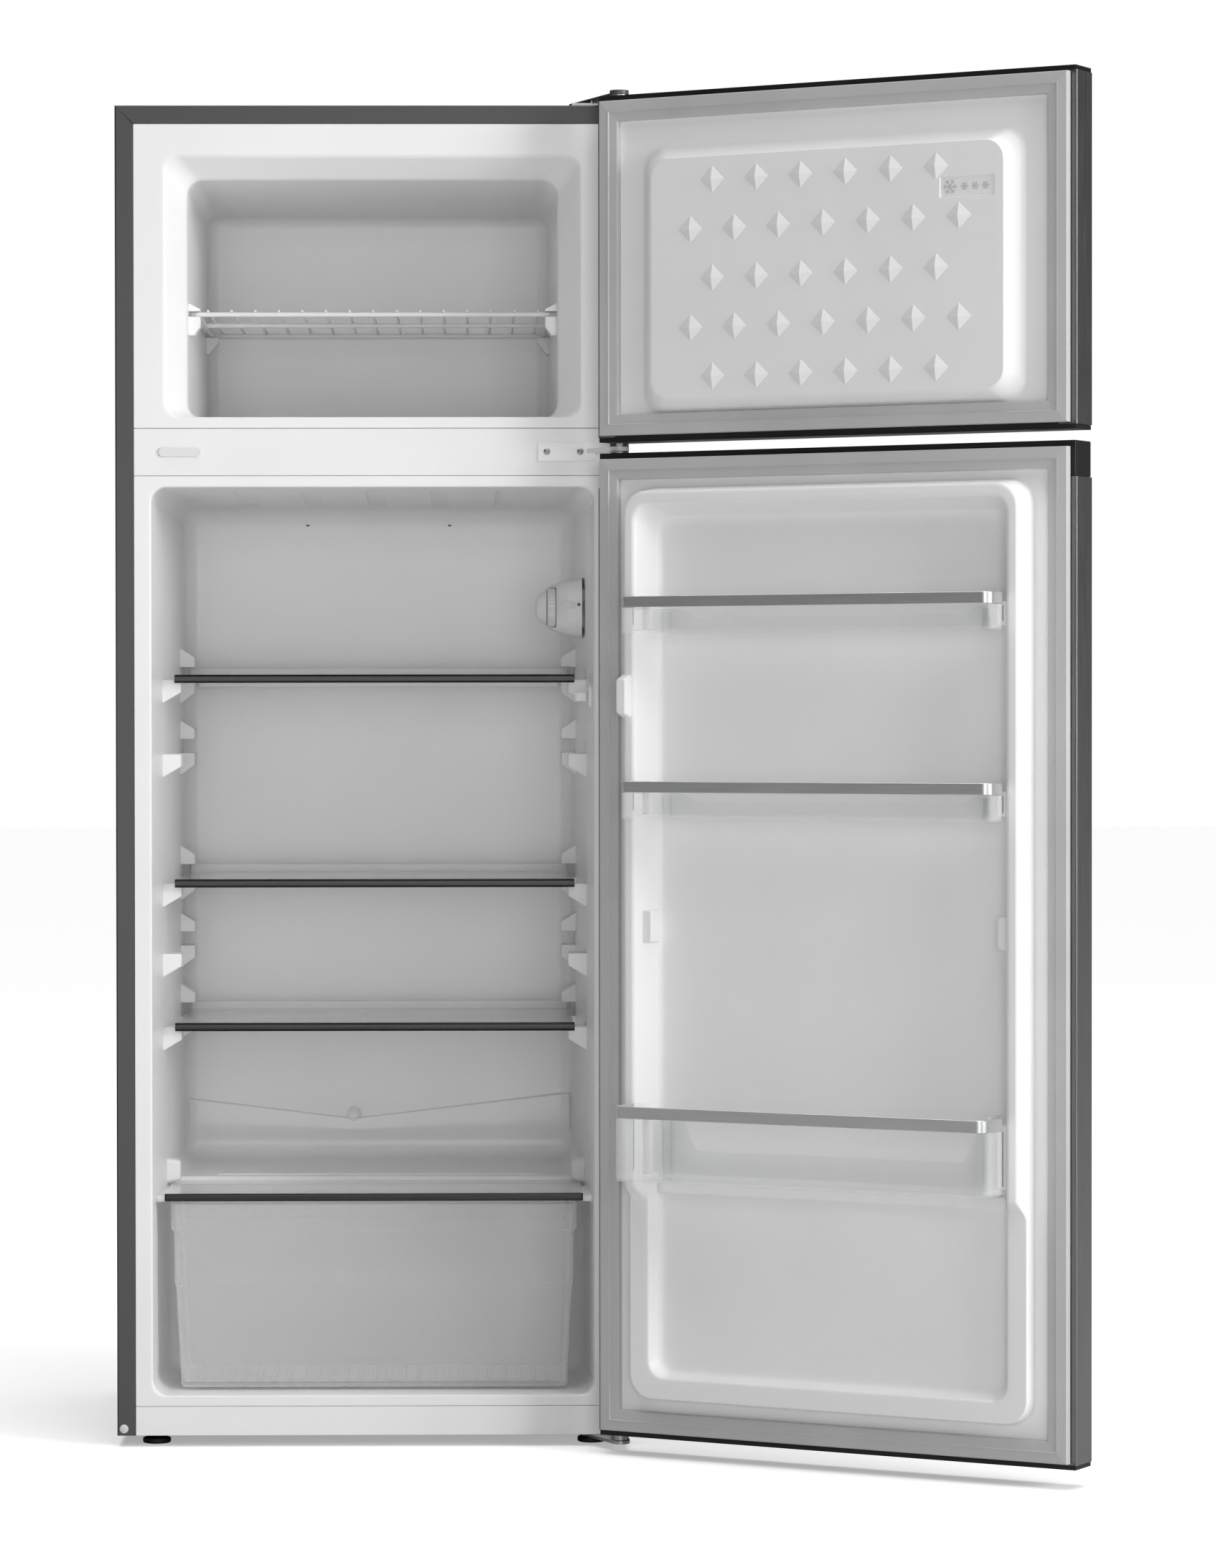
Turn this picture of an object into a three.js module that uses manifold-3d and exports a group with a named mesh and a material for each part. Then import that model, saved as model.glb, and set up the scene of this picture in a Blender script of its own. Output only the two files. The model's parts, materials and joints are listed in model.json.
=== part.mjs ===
// Top freezer refrigerator, cabinet with two side-hung doors standing open.
//
// Millimetres, +Z up, front towards -Y. While it is built, Y = 0 is the cabinet's front
// face and Z = 0 the floor; at the end the whole group is moved so that the middle of its
// box stands on the origin.

import * as THREE from "three";
import { mergeVertices } from "three/addons/utils/BufferGeometryUtils.js";
import Module from "manifold-3d";

const wasm = await Module();
wasm.setup();

// ---------------------------------------------------------------- driving sizes

const gap = 0.3; // between pieces that touch
const sheet = 1; // steel sheet
const wall = 2; // thermoformed liner

// cabinet
const cabinetWidth = 545;
const cabinetDepth = 460;
const cabinetHeight = 1412;
const footHeight = 12;
const flangeWidth = 19.5; // steel edge seen around the front
const freezerFrontHeight = 342; // cabinet top down to the mid rail
const railHeight = 50.4;
const kickHeight = 31;
const linerDepth = 395;

// freezer mouth, measured in from the cabinet's outside
const freezerSide = 53;
const freezerRoof = 54;
const freezerSill = 12; // above the mid rail
const chamferRun = 22.5;
const chamferDepth = 30;
const freezerDraft = 4;
const freezerCorner = 16;

// fridge mouth
const fridgeSide = 38;
const fridgeRoof = 12.2; // below the mid rail
const fridgeSill = 11.5; // above the kick panel
const fridgeDraft = 14.5;
const fridgeRoofDraft = 8;
const fridgeFloorDraft = 2.5;
const fridgeCorner = 16;

// compressor hump at the bottom of the fridge compartment
const humpStart = 196; // depth where it rises
const humpHeight = 216; // above the compartment floor
const foamOverHump = 34;

// doors
const doorThickness = 40;
const doorGap = 12; // closed door's inner face to the cabinet front
const doorOpen = 150; // degrees
const pivotInset = 11; // from the cabinet's right side
const pivotForward = 39; // in front of the cabinet
const doorAboveTop = 2.5;
const doorBelowRail = 18.5; // upper door's bottom edge below the mid rail's top
const doorsApart = 11.5;
const doorAboveBase = 8;
const returnFlange = 20; // steel turned in around the door's back
const capInset = 1.5;
const capLip = 8.5; // dark lip on the door's inner face
const slimCap = 4.5;
const gripCap = 36;
const gripDepth = 22;
const gripMargin = 60;
const gasketMargin = 7.4;
const gasketBead = 12;
const gasketFin = 9.5;
const gasketProud = 11;
const gasketFinHeight = 5;
const doorLinerWall = 1.5;
const doorLinerInset = 12; // liner's outer edge, in from the door's edge
const panel = { // raised panel of the freezer door's liner
  inset: 56.5,
  taper: 13.5,
  height: 18,
  corner: 22,
  foot: 28.5,
  head: 59.5,
  pitch: 50.8,
  diamond: 14,
  rise: 3.5,
};
const dike = { // raised border of the fridge door's liner, which holds the bins
  foot: 44.6,
  lean: 4,
  crest: 12.5,
  height: 35.5,
  lowHeight: 18, // under the lowest bin
  stepAt: 265, // above the door's underside
  fall: 14,
  floor: 3,
  corner: 22,
  bottom: 42,
  top: 38,
};
const bossWidth = 11;
const bossHeight = 22;
const pusherHeight = 12; // above the dike

// hinges
const pinRadius = 3.5;
const pinPlay = 0.4;
const pinLength = 13;
const bushRadius = 9;
const bushDepth = 17;
const hingePlate = 3;
const midPlateWidth = 61;
const midPlateHeight = 20;
const midPlateInset = 96.5; // from the cabinet's right side to the plate's far end
const midPlateDrop = 10.8; // plate's bottom below the arm's middle
const midArmStart = 50; // along the plate
const midArmEnd = 73;
const midScrews = [9.4, 44.8]; // along the plate
const midScrewDrop = 0.8;
const armThickness = 4.5;
const armEye = 10;
const armClear = 0.6; // between an arm and the door's cap
const topPlateLength = 54;
const topPlateDepth = [8, 56];
const topArmRun = [40, 4]; // from the cabinet's right side
const hoodRun = [62, 3];
const hoodDepth = 60;
const hoodThickness = 1.6;
const domeHeight = 4.4;
const lowArmRun = [75, 4];
const lowArmDepth = 70;
const lowArmThickness = 3.5;
const washerRadius = 7;

// shelves and drawer
const glass = 4;
const trimHeight = 9;
const trimDepth = 12;
const shelfFront = 110;
const shelfRear = 384;
const shelfSideGap = 18; // fridge mouth to the shelf's side
const supportReach = 15; // supports' run in from the mouth line
const supportLength = 46;
const supportHeight = 14;
const coverFront = 28;
const coverRear = 190;
const drawerPlay = 2;
const drawerWall = 2.5;
const drawerLip = 8; // narrower than the space beside it, on each side
const drawerCorner = 12;
const drawerFloor = 8; // sump under the drawer's floor
const coverEdge = 8;
const coverUnderHump = 4;
const shelfSpaces = [178, 156, 222, 198]; // crisper cover up to the ceiling
const spareSlots = [80, 141]; // unused supports, above the shelf under them

// freezer shelf
const wireRadius = 1.5;
const railRadius = 2.5;
const wirePitch = 25.25;
const wireShelfRise = 113; // above the freezer floor
const wireShelfFront = 60;
const wireShelfRear = 380;
const wireBracketReach = 13;
const wireLedge = 18;
const wireHook = 9;

// thermostat, lamp and door switch, set by the fridge roof
const thermostat = { front: 150, length: 70, low: 157.4, high: 91.4, reach: 59 };
const housingRings = [ // from the tip: along X, inset along Y, inset along Z, corner
  [0, 21, 25, 7], [2.5, 17, 19.6, 11], [7.5, 12, 16.5, 14], [16.5, 6, 9, 16], [35, 1.5, 2.5, 16],
];
const thumbwheel = { radius: 21, width: 9, inset: 12.5, setBack: 12, shaft: 4, seat: 5 };
const lampRadius = 9;
const lightSwitch = { front: 40, size: 16, reach: 14, drop: 222.4, height: 10 };

// door bins, from the bottom of the door liner's recess upwards
const binSpaces = [203.5, 374, 192, 121.5];
const binHeights = [78, 39, 38];
const binFronts = [86, 72, 72];
const binTrims = [11, 10, 10];
const binWall = 2.2;
const binBack = 6;

// back of the cabinet
const condenserStandoff = 24;
const condenserTube = 2.6;
const condenserPasses = 12;
const condenserWires = 6;
const condenserMargin = 38;
const condenserBase = 290;
const condenserDrop = 70; // below the cabinet top
const compressorRadius = 72;
const compressorShift = -70; // from the cabinet's middle
const compressorHeight = 160;
const compressorPlate = [184, 100];
const compressorMounts = [80, 38];
const relaySize = [34, 68, 64];
const trayWall = 2;
const traySize = [170, 140, 26];
const trayClear = 3;
const machineTrayHeight = 2;
const machineTrayLip = 12;
const inlet = { width: 40, inset: 20, depth: 27, height: 40, low: 30, rim: 6, recess: 15 };
const evaporatorSize = { half: 150, foot: 30, head: 60, thick: 5, rib: 6 };

// feet
const footInset = 40;
const footDepth = 36;
const footPad = [15, 6]; // radius and height
const footStem = 5;
const rearFootRadius = 13;

// blank plug over the spare hinge holes in the mid rail
const plugLength = 46;
const plugRadius = 5.2;
const plugInset = 45.5;
const plugDrop = 25.2;
const plugThickness = 1.6;

// ---------------------------------------------------------------- worked-out places

const half = cabinetWidth / 2;
const base = footHeight;
const top = footHeight + cabinetHeight;
const railTop = top - freezerFrontHeight;
const railBottom = railTop - railHeight;
const kickTop = base + kickHeight;
const innerHalf = half - sheet;

const freezer = {
  half: half - freezerSide,
  floor: railTop + freezerSill,
  roof: top - freezerRoof,
};
const fridge = {
  half: half - fridgeSide,
  floor: kickTop + fridgeSill,
  roof: railBottom - fridgeRoof,
};
const humpTop = fridge.floor + humpHeight;
const coverTop = humpTop - coverUnderHump;
const wireShelfLevel = freezer.floor + wireShelfRise;
const switchLevel = fridge.roof - lightSwitch.drop;

const compartmentTop = humpTop - wall - foamOverHump;
const compartmentFront = humpStart + wall + foamOverHump;
const rearPanelFront = cabinetDepth - sheet;
const foamFront = sheet + gap + wall + gap;
const evaporator = {
  half: evaporatorSize.half,
  low: freezer.floor + evaporatorSize.foot,
  high: freezer.roof - evaporatorSize.head,
  front: linerDepth + wall + gap,
  thick: evaporatorSize.thick,
};

const footX = half - footInset;
const rearFootY = cabinetDepth - footInset;
const plateLow = base + 1;
const plateHigh = plateLow + machineTrayHeight;

const midPlateLeft = half - midPlateInset;
const pivotX = half - pivotInset;
const openAngle = THREE.MathUtils.degToRad(doorOpen);
const doorEdge = pivotInset; // hinge edge of a door, from the pivot
const doorBack = pivotForward - doorGap; // its inner face, from the pivot
const doorFront = doorBack - doorThickness;
const doorWidth = cabinetWidth;
const upperDoor = { low: railTop - doorBelowRail, high: top + doorAboveTop };
const lowerDoor = { low: base + doorAboveBase, high: upperDoor.low - doorsApart };

// ---------------------------------------------------------------- solids

function solid(geometry) {
  const bare = geometry.clone();
  bare.deleteAttribute("normal");
  bare.deleteAttribute("uv");
  const merged = mergeVertices(bare, 1e-4);
  const mesh = new wasm.Mesh({
    numProp: 3,
    vertProperties: merged.attributes.position.array,
    triVerts: new Uint32Array(merged.index.array),
  });
  return new wasm.Manifold(mesh);
}

function block(x0, x1, y0, y1, z0, z1) {
  const box = new THREE.BoxGeometry(x1 - x0, y1 - y0, z1 - z0);
  box.translate((x0 + x1) / 2, (y0 + y1) / 2, (z0 + z1) / 2);
  return solid(box);
}

function cylinder(x, y, z0, z1, radius, sides = 24) {
  const rod = new THREE.CylinderGeometry(radius, radius, z1 - z0, sides);
  rod.rotateX(Math.PI / 2);
  rod.translate(x, y, (z0 + z1) / 2);
  return solid(rod);
}

// A cylinder lying along Y.
function plug(x, z, y0, y1, radius, sides = 24) {
  const rod = new THREE.CylinderGeometry(radius, radius, y1 - y0, sides);
  rod.translate(x, (y0 + y1) / 2, z);
  return solid(rod);
}

// A cylinder lying along X.
function bar(y, z, x0, x1, radius, sides = 8) {
  const rod = new THREE.CylinderGeometry(radius, radius, x1 - x0, sides);
  rod.rotateZ(Math.PI / 2);
  rod.translate((x0 + x1) / 2, y, z);
  return solid(rod);
}

function join(pieces) {
  return pieces.reduce((whole, piece) => whole.add(piece));
}

// A plate with the outline of a THREE.Shape in X and Y, from z0 to z1.
function plate(outline, z0, z1, curveSegments = 8) {
  const slab = new THREE.ExtrudeGeometry(outline, {
    depth: z1 - z0,
    bevelEnabled: false,
    curveSegments,
  });
  slab.translate(0, 0, z0);
  return solid(slab);
}

// Corners of a rounded rectangle in X and Z, anticlockwise seen from the front.
function roundedRing(y, x0, x1, z0, z1, radius, steps = 4) {
  const centres = [
    [x1 - radius, z0 + radius, -90],
    [x1 - radius, z1 - radius, 0],
    [x0 + radius, z1 - radius, 90],
    [x0 + radius, z0 + radius, 180],
  ];
  const ring = [];
  for (const [cx, cz, start] of centres) {
    for (let i = 0; i <= steps; i++) {
      const angle = THREE.MathUtils.degToRad(start + (90 * i) / steps);
      ring.push([cx + radius * Math.cos(angle), y, cz + radius * Math.sin(angle)]);
    }
  }
  return ring;
}

// A closed skin over rings of points, each ring joined to the next.
function skinOver(rings) {
  const count = rings[0].length;
  const points = rings.flat(2);
  const faces = [];
  for (let r = 0; r + 1 < rings.length; r++) {
    for (let i = 0; i < count; i++) {
      const a = r * count + i;
      const b = r * count + ((i + 1) % count);
      faces.push(a, a + count, b + count, a, b + count, b);
    }
  }
  const last = (rings.length - 1) * count;
  for (let i = 1; i + 1 < count; i++) {
    faces.push(0, i, i + 1, last, last + i + 1, last + i);
  }
  const skin = new THREE.BufferGeometry();
  skin.setAttribute("position", new THREE.Float32BufferAttribute(points, 3));
  skin.setIndex(faces);
  return solid(skin);
}

// The same, turned the right way out.
function loft(rings) {
  const body = skinOver(rings);
  return body.volume() > 0 ? body : skinOver(rings.map((ring) => [...ring].reverse()));
}

// A round tube through points of one plane; `across` is the plane's normal.
function tube(points, radius, across, sides = 8) {
  const normal = new THREE.Vector3(...across);
  const rings = points.map((point, i) => {
    const before = new THREE.Vector3(...points[Math.max(i - 1, 0)]);
    const after = new THREE.Vector3(...points[Math.min(i + 1, points.length - 1)]);
    const along = after.sub(before).normalize();
    const beside = new THREE.Vector3().crossVectors(normal, along);
    const ring = [];
    for (let k = 0; k < sides; k++) {
      const angle = (2 * Math.PI * k) / sides;
      ring.push(
        new THREE.Vector3(...point)
          .addScaledVector(normal, radius * Math.cos(angle))
          .addScaledVector(beside, radius * Math.sin(angle))
          .toArray(),
      );
    }
    return ring;
  });
  return loft(rings);
}

// A block between two x places given in either order.
function sideBlock(side, reach, ...rest) {
  const x = [side * reach, side * half].sort((a, b) => a - b);
  return block(...x, ...rest);
}

// Places between low and high, in the proportions of the spaces.
function spread(low, high, spaces) {
  const total = spaces.reduce((sum, space) => sum + space, 0);
  const scale = (high - low) / total;
  let at = low;
  return spaces.slice(0, -1).map((space) => (at += space * scale));
}

// ---------------------------------------------------------------- materials and nodes

function material(color, roughness, metalness = 0, opacity = 1) {
  return new THREE.MeshStandardMaterial({
    color,
    roughness,
    metalness,
    opacity,
    transparent: opacity < 1,
  });
}

const finish = {
  darkSteel: material(0x55585a, 0.38, 0.85),
  greySheet: material(0x8c8f91, 0.5, 0.6),
  white: material(0xf2f2f0, 0.35),
  foam: material(0xd9c48f, 0.9),
  blackPlastic: material(0x26272a, 0.5),
  greyPlastic: material(0x8d8f90, 0.45),
  gasket: material(0xb9bab8, 0.6),
  glass: material(0xcfe0dd, 0.05, 0, 0.35),
  clear: material(0xe6edee, 0.1, 0, 0.4),
  steelTrim: material(0x9a9da0, 0.3, 0.9),
  blackSteel: material(0x1d1d1f, 0.45, 0.5),
  zinc: material(0xa9abac, 0.4, 0.8),
  aluminium: material(0xbfc2c4, 0.35, 0.8),
  copper: material(0xb06a42, 0.35, 0.9),
  whiteWire: material(0xf0f0ee, 0.4),
};

const cabinet = new THREE.Group();

function add(group, name, look, body) {
  const data = body.getMesh();
  const geometry = new THREE.BufferGeometry();
  const positions = new Float32Array((data.vertProperties.length / data.numProp) * 3);
  for (let i = 0; i < positions.length / 3; i++) {
    for (let k = 0; k < 3; k++) {
      positions[3 * i + k] = data.vertProperties[i * data.numProp + k];
    }
  }
  geometry.setAttribute("position", new THREE.BufferAttribute(positions, 3));
  geometry.setIndex(new THREE.BufferAttribute(new Uint32Array(data.triVerts), 1));
  geometry.computeVertexNormals();
  const mesh = new THREE.Mesh(geometry, finish[look]);
  mesh.name = name;
  group.add(mesh);
  return mesh;
}

// ---------------------------------------------------------------- compartments

// The freezer's air space, grown by `grow` for the liner and the foam around it.
function freezerSpace(grow, front) {
  const ring = (y, inset, roofDrop) =>
    roundedRing(
      y,
      -(freezer.half - inset + grow),
      freezer.half - inset + grow,
      freezer.floor - grow,
      freezer.roof - roofDrop + grow,
      freezerCorner + grow,
    );
  return loft([
    ring(front, 0, 0),
    ring(0, 0, 0),
    ring(chamferDepth, chamferRun, chamferRun),
    ring(linerDepth + grow, chamferRun + freezerDraft, chamferRun + 7),
  ]);
}

// The fridge's air space, with the compressor hump left out of it.
function fridgeSpace(grow, front) {
  const ring = (y, inset, roofDrop, floorRise) =>
    roundedRing(
      y,
      -(fridge.half - inset + grow),
      fridge.half - inset + grow,
      fridge.floor + floorRise - grow,
      fridge.roof - roofDrop + grow,
      fridgeCorner + grow,
    );
  const whole = loft([
    ring(front, 0, 0, 0),
    ring(0, 0, 0, 0),
    ring(linerDepth + grow, fridgeDraft, fridgeRoofDraft, fridgeFloorDraft),
  ]);
  const hump = block(-half, half, humpStart + grow, cabinetDepth, 0, humpTop - grow);
  return whole.subtract(hump);
}

// Half the width of the fridge's air space at a depth.
function fridgeHalfAt(depth) {
  return fridge.half - (fridgeDraft * depth) / linerDepth;
}

const shelfTops = spread(coverTop, fridge.roof, shelfSpaces);
const slots = [
  ...shelfTops,
  shelfTops[0] + spareSlots[0],
  shelfTops[1] + spareSlots[1],
];

// ---------------------------------------------------------------- cabinet

function cabinetShell() {
  const outside = block(-half, half, 0, cabinetDepth, base, top);
  const inside = block(
    -innerHalf, innerHalf, sheet, cabinetDepth + 1, base - 1, top - sheet,
  );
  const opening = block(
    -(half - flangeWidth), half - flangeWidth, -1, sheet + 1, base - 1, top - flangeWidth,
  );
  add(cabinet, "outer_shell", "darkSteel", outside.subtract(inside).subtract(opening));
}

function rearPanel() {
  const panel = block(
    -(innerHalf - gap), innerHalf - gap, rearPanelFront, cabinetDepth,
    compartmentTop - 20, top - sheet - gap,
  );
  add(cabinet, "rear_panel", "greySheet", panel);
}

function cabinetFoam() {
  const slab = block(
    -(innerHalf - gap), innerHalf - gap, foamFront, rearPanelFront - gap,
    base, top - sheet - gap,
  );
  const compartment = block(
    -half, half, compartmentFront, cabinetDepth + 1, base - 1, compartmentTop,
  );
  const pocket = block(
    -(evaporator.half + gap), evaporator.half + gap,
    evaporator.front - 1, evaporator.front + evaporator.thick + gap,
    evaporator.low - gap, evaporator.high + gap,
  );
  const foam = slab
    .subtract(freezerSpace(wall + gap, -2))
    .subtract(fridgeSpace(wall + gap, -2))
    .subtract(compartment)
    .subtract(pocket);
  add(cabinet, "cabinet_foam", "foam", foam);
}

function linerFlange(low, high) {
  const side = half - flangeWidth - gap;
  return block(-side, side, 0, wall, low, high);
}

// Wire shelf supports: a ledge under each rail's end, and a hook over the front one.
function wireSupports() {
  const reach = freezer.half - chamferRun - wireBracketReach;
  const under = wireShelfLevel - railRadius - gap;
  const over = wireShelfLevel + railRadius + gap;
  const front = [wireShelfFront - 13, wireShelfFront + 13];
  const rear = [wireShelfRear - 23, wireShelfRear + 3];
  return [-1, 1].flatMap((side) => [
    sideBlock(side, reach, ...front, under - wireLedge, under),
    sideBlock(side, reach, ...front, over, over + wireHook),
    sideBlock(side, reach, ...rear, under - wireLedge, under),
  ]);
}

function freezerLiner() {
  const flange = linerFlange(railTop + gap, top - flangeWidth - gap);
  const shell = flange.add(freezerSpace(wall, 0)).subtract(freezerSpace(0, -1));
  const supports = join(wireSupports()).intersect(freezerSpace(wall / 2, 0));
  add(cabinet, "freezer_liner", "white", shell.add(supports));
}

// Ledges that carry the shelves, and the upper keepers above each slot.
function shelfSupports() {
  const pieces = [];
  const reach = fridge.half - supportReach - fridgeDraft;
  for (const slot of slots) {
    const under = slot - trimHeight - gap;
    for (const front of [shelfFront + 8, shelfRear - supportLength - 8]) {
      for (const side of [-1, 1]) {
        const rear = front + supportLength;
        pieces.push(sideBlock(side, reach, front, rear, under - supportHeight, under));
        pieces.push(sideBlock(side, reach, front, rear, slot + 2, slot + 2 + supportHeight));
      }
    }
  }
  return pieces;
}

// Ledges for the crisper cover along both side walls.
function coverLedges() {
  const under = coverTop - glass - gap;
  const reach = fridge.half - supportReach;
  return [-1, 1].map((side) =>
    sideBlock(side, reach, coverFront + 14, humpStart + 1, under - 5, under),
  );
}

function fridgeLiner() {
  const flange = linerFlange(kickTop + gap, railBottom - gap);
  const shell = flange.add(fridgeSpace(wall, 0)).subtract(fridgeSpace(0, -1));
  const supports = join([...shelfSupports(), ...coverLedges()]);
  const moulded = supports.intersect(fridgeSpace(wall / 2, 0));
  add(cabinet, "fridge_liner", "white", shell.add(moulded));
}

function frontTrims() {
  const side = half - flangeWidth - gap;
  add(
    cabinet, "mid_rail", "white",
    block(-side, side, 0, wall, railBottom + gap, railTop - gap),
  );
  add(cabinet, "kick_panel", "white", block(-side, side, 0, wall, base, kickTop - gap));
  const capsule = new THREE.Shape();
  capsule.absarc(plugLength - plugRadius, 0, plugRadius, -Math.PI / 2, Math.PI / 2);
  capsule.absarc(plugRadius, 0, plugRadius, Math.PI / 2, (3 * Math.PI) / 2);
  const pill = new THREE.ExtrudeGeometry(capsule, {
    depth: plugThickness,
    bevelEnabled: false,
    curveSegments: 10,
  });
  pill.rotateX(Math.PI / 2);
  pill.translate(-(half - plugInset), -gap, railTop - plugDrop);
  add(cabinet, "hinge_plug", "white", solid(pill));
}

// ---------------------------------------------------------------- hinges

// A flat arm that ends in a round eye over the pivot.
function armOutline(left, right, back) {
  const outline = new THREE.Shape();
  outline.moveTo(left, back);
  outline.lineTo(pivotX - armEye, -pivotForward);
  outline.absarc(pivotX, -pivotForward, armEye, Math.PI, 2 * Math.PI);
  outline.lineTo(right, back);
  outline.closePath();
  return outline;
}

function topHinge() {
  const low = upperDoor.high + armClear;
  const high = low + hingePlate;
  const right = half - 6;
  const [front, rear] = topPlateDepth;
  const footing = block(
    right - topPlateLength, right, front, rear, top + gap, top + gap + hingePlate,
  );
  const step = block(half - topArmRun[0], right, front, front + 6, top + gap, high);
  const arm = plate(armOutline(half - topArmRun[0], half - topArmRun[1], front + 4), low, high);
  const pin = cylinder(
    pivotX, -pivotForward, upperDoor.high - pinLength, low + 1, pinRadius, 20,
  );
  add(cabinet, "top_hinge", "zinc", join([footing, step, arm, pin]));

  const coverLow = high + gap;
  const hood = plate(
    armOutline(half - hoodRun[0], half - hoodRun[1], hoodDepth),
    coverLow, coverLow + hoodThickness,
  );
  const dome = cylinder(pivotX, -pivotForward, coverLow, coverLow + domeHeight, armEye, 28);
  add(cabinet, "top_hinge_cover", "greyPlastic", hood.add(dome));
}

function midHinge() {
  const level = (upperDoor.low + lowerDoor.high) / 2;
  const plateBottom = level - midPlateDrop;
  const face = block(
    midPlateLeft, midPlateLeft + midPlateWidth, -hingePlate - gap, -gap,
    plateBottom, plateBottom + midPlateHeight,
  );
  const arm = plate(
    armOutline(midPlateLeft + midArmStart, midPlateLeft + midArmEnd, -gap),
    level - armThickness / 2, level + armThickness / 2,
  );
  const pins = cylinder(
    pivotX, -pivotForward, lowerDoor.high - pinLength, upperDoor.low + pinLength,
    pinRadius, 20,
  );
  const screwLevel = level - midScrewDrop;
  let bracket = join([face, arm, pins]);
  midScrews.forEach((along, i) => {
    const x = midPlateLeft + along;
    bracket = bracket.subtract(plug(x, screwLevel, -hingePlate - 1, 0, 2.4, 16));
    const shank = plug(x, screwLevel, -hingePlate - 0.6, -gap, 2.1, 16);
    const head = plug(x, screwLevel, -hingePlate - 2, -hingePlate - 0.6, 3.4, 16);
    add(cabinet, `mid_hinge_screw_${i + 1}`, "zinc", shank.add(head));
  });
  add(cabinet, "mid_hinge", "white", bracket);
}

function bottomHinge() {
  const under = base - gap;
  const arm = plate(
    armOutline(half - lowArmRun[0], half - lowArmRun[1], lowArmDepth),
    under - lowArmThickness, under,
  );
  const pin = cylinder(
    pivotX, -pivotForward, under - 1, lowerDoor.low + pinLength, pinRadius, 20,
  );
  const washer = cylinder(
    pivotX, -pivotForward, under - 1, lowerDoor.low - armClear, washerRadius, 20,
  );
  const footHole = cylinder(footX, footDepth, 0, base, footStem + 1.5, 20);
  add(cabinet, "bottom_hinge", "zinc", join([arm, pin, washer]).subtract(footHole));
}

// ---------------------------------------------------------------- feet and machine

function feet() {
  const [padRadius, padHeight] = footPad;
  for (const [side, name] of [[-1, "left"], [1, "right"]]) {
    const pad = cylinder(side * footX, footDepth, 0, padHeight, padRadius, 24);
    const stem = cylinder(side * footX, footDepth, padHeight - 1, base - gap, footStem, 20);
    add(cabinet, `front_foot_${name}`, "blackPlastic", pad.add(stem));
    const rear = cylinder(side * footX, rearFootY, 0, plateLow - gap, rearFootRadius, 24);
    add(cabinet, `rear_foot_${name}`, "blackPlastic", rear);
  }
}

// A profile of [radius, height] turned about +Z.
function turned(profile, sides) {
  const lathe = new THREE.LatheGeometry(
    profile.map(([r, z]) => new THREE.Vector2(r, z)),
    sides,
  );
  return lathe.rotateX(Math.PI / 2);
}

function machine() {
  const side = innerHalf - gap;
  const front = compartmentFront + gap;
  const tray = block(-side, side, front, cabinetDepth, plateLow, plateHigh);
  const lip = block(
    -side, side, cabinetDepth - trayWall, cabinetDepth, plateLow, plateHigh + machineTrayLip,
  );
  add(cabinet, "compressor_plate", "zinc", tray.add(lip));

  const x = compressorShift;
  const y = (front + cabinetDepth) / 2;
  const low = plateHigh + gap;
  const r = compressorRadius;
  const h = compressorHeight;
  const dome = turned([
    [0, 14], [r * 0.72, 14], [r, 34], [r, h - 44], [r * 0.8, h - 14], [r * 0.4, h - 2],
    [0, h],
  ], 28);
  dome.translate(x, y, low);
  const [plateWidth, plateLength] = compressorPlate;
  const feetPlate = block(
    x - plateWidth / 2, x + plateWidth / 2, y - plateLength / 2, y + plateLength / 2,
    low + 12, low + 16,
  );
  const mounts = [-1, 1].flatMap((sx) =>
    [-1, 1].map((sy) =>
      cylinder(
        x + sx * compressorMounts[0], y + sy * compressorMounts[1], low, low + 13, 9, 16,
      ),
    ),
  );
  add(cabinet, "compressor", "blackSteel", join([solid(dome), feetPlate, ...mounts]));

  const relayLeft = x + r + 2;
  const [relayWidth, relayLength, relayHeight] = relaySize;
  const relay = block(
    relayLeft, relayLeft + relayWidth, y - relayLength / 2, y + relayLength / 2,
    low + 36, low + 36 + relayHeight,
  );
  add(cabinet, "relay_cover", "blackPlastic", relay);

  const trayLow = low + h + trayClear;
  const [trayWidth, trayLength, trayHeight] = traySize;
  const pan = (inset, from, to) => block(
    x - trayWidth / 2 + inset, x + trayWidth / 2 - inset,
    y - trayLength / 2 + inset, y + trayLength / 2 - inset, from, to,
  );
  add(
    cabinet, "drip_tray", "blackPlastic",
    pan(0, trayLow, trayLow + trayHeight)
      .subtract(pan(trayWall, trayLow + trayWall, trayLow + trayHeight + 1)),
  );

  const drier = turned(
    [[0, 0], [3, 0], [3, 14], [10, 22], [10, 92], [3, 100], [3, 114], [0, 114]], 16,
  );
  drier.translate(relayLeft + 70, cabinetDepth - 40, low + 20);
  add(cabinet, "filter_drier", "copper", solid(drier));
  powerInlet(side, low);
}

// A recessed socket for the supply lead, on a strap from the side panel.
function powerInlet(side, low) {
  const right = side - inlet.inset;
  const rear = cabinetDepth - 3;
  const body = block(
    right - inlet.width, right, rear - inlet.depth, rear,
    low + inlet.low, low + inlet.low + inlet.height,
  );
  const recess = block(
    right - inlet.width + inlet.rim, right - inlet.rim, rear - inlet.recess, cabinetDepth,
    low + inlet.low + 8, low + inlet.low + inlet.height - 8,
  );
  const strap = block(
    right, side, rear - 11, rear - 5, low + inlet.low + 14, low + inlet.low + 26,
  );
  add(cabinet, "power_inlet", "blackPlastic", body.subtract(recess).add(strap));
}

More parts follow.
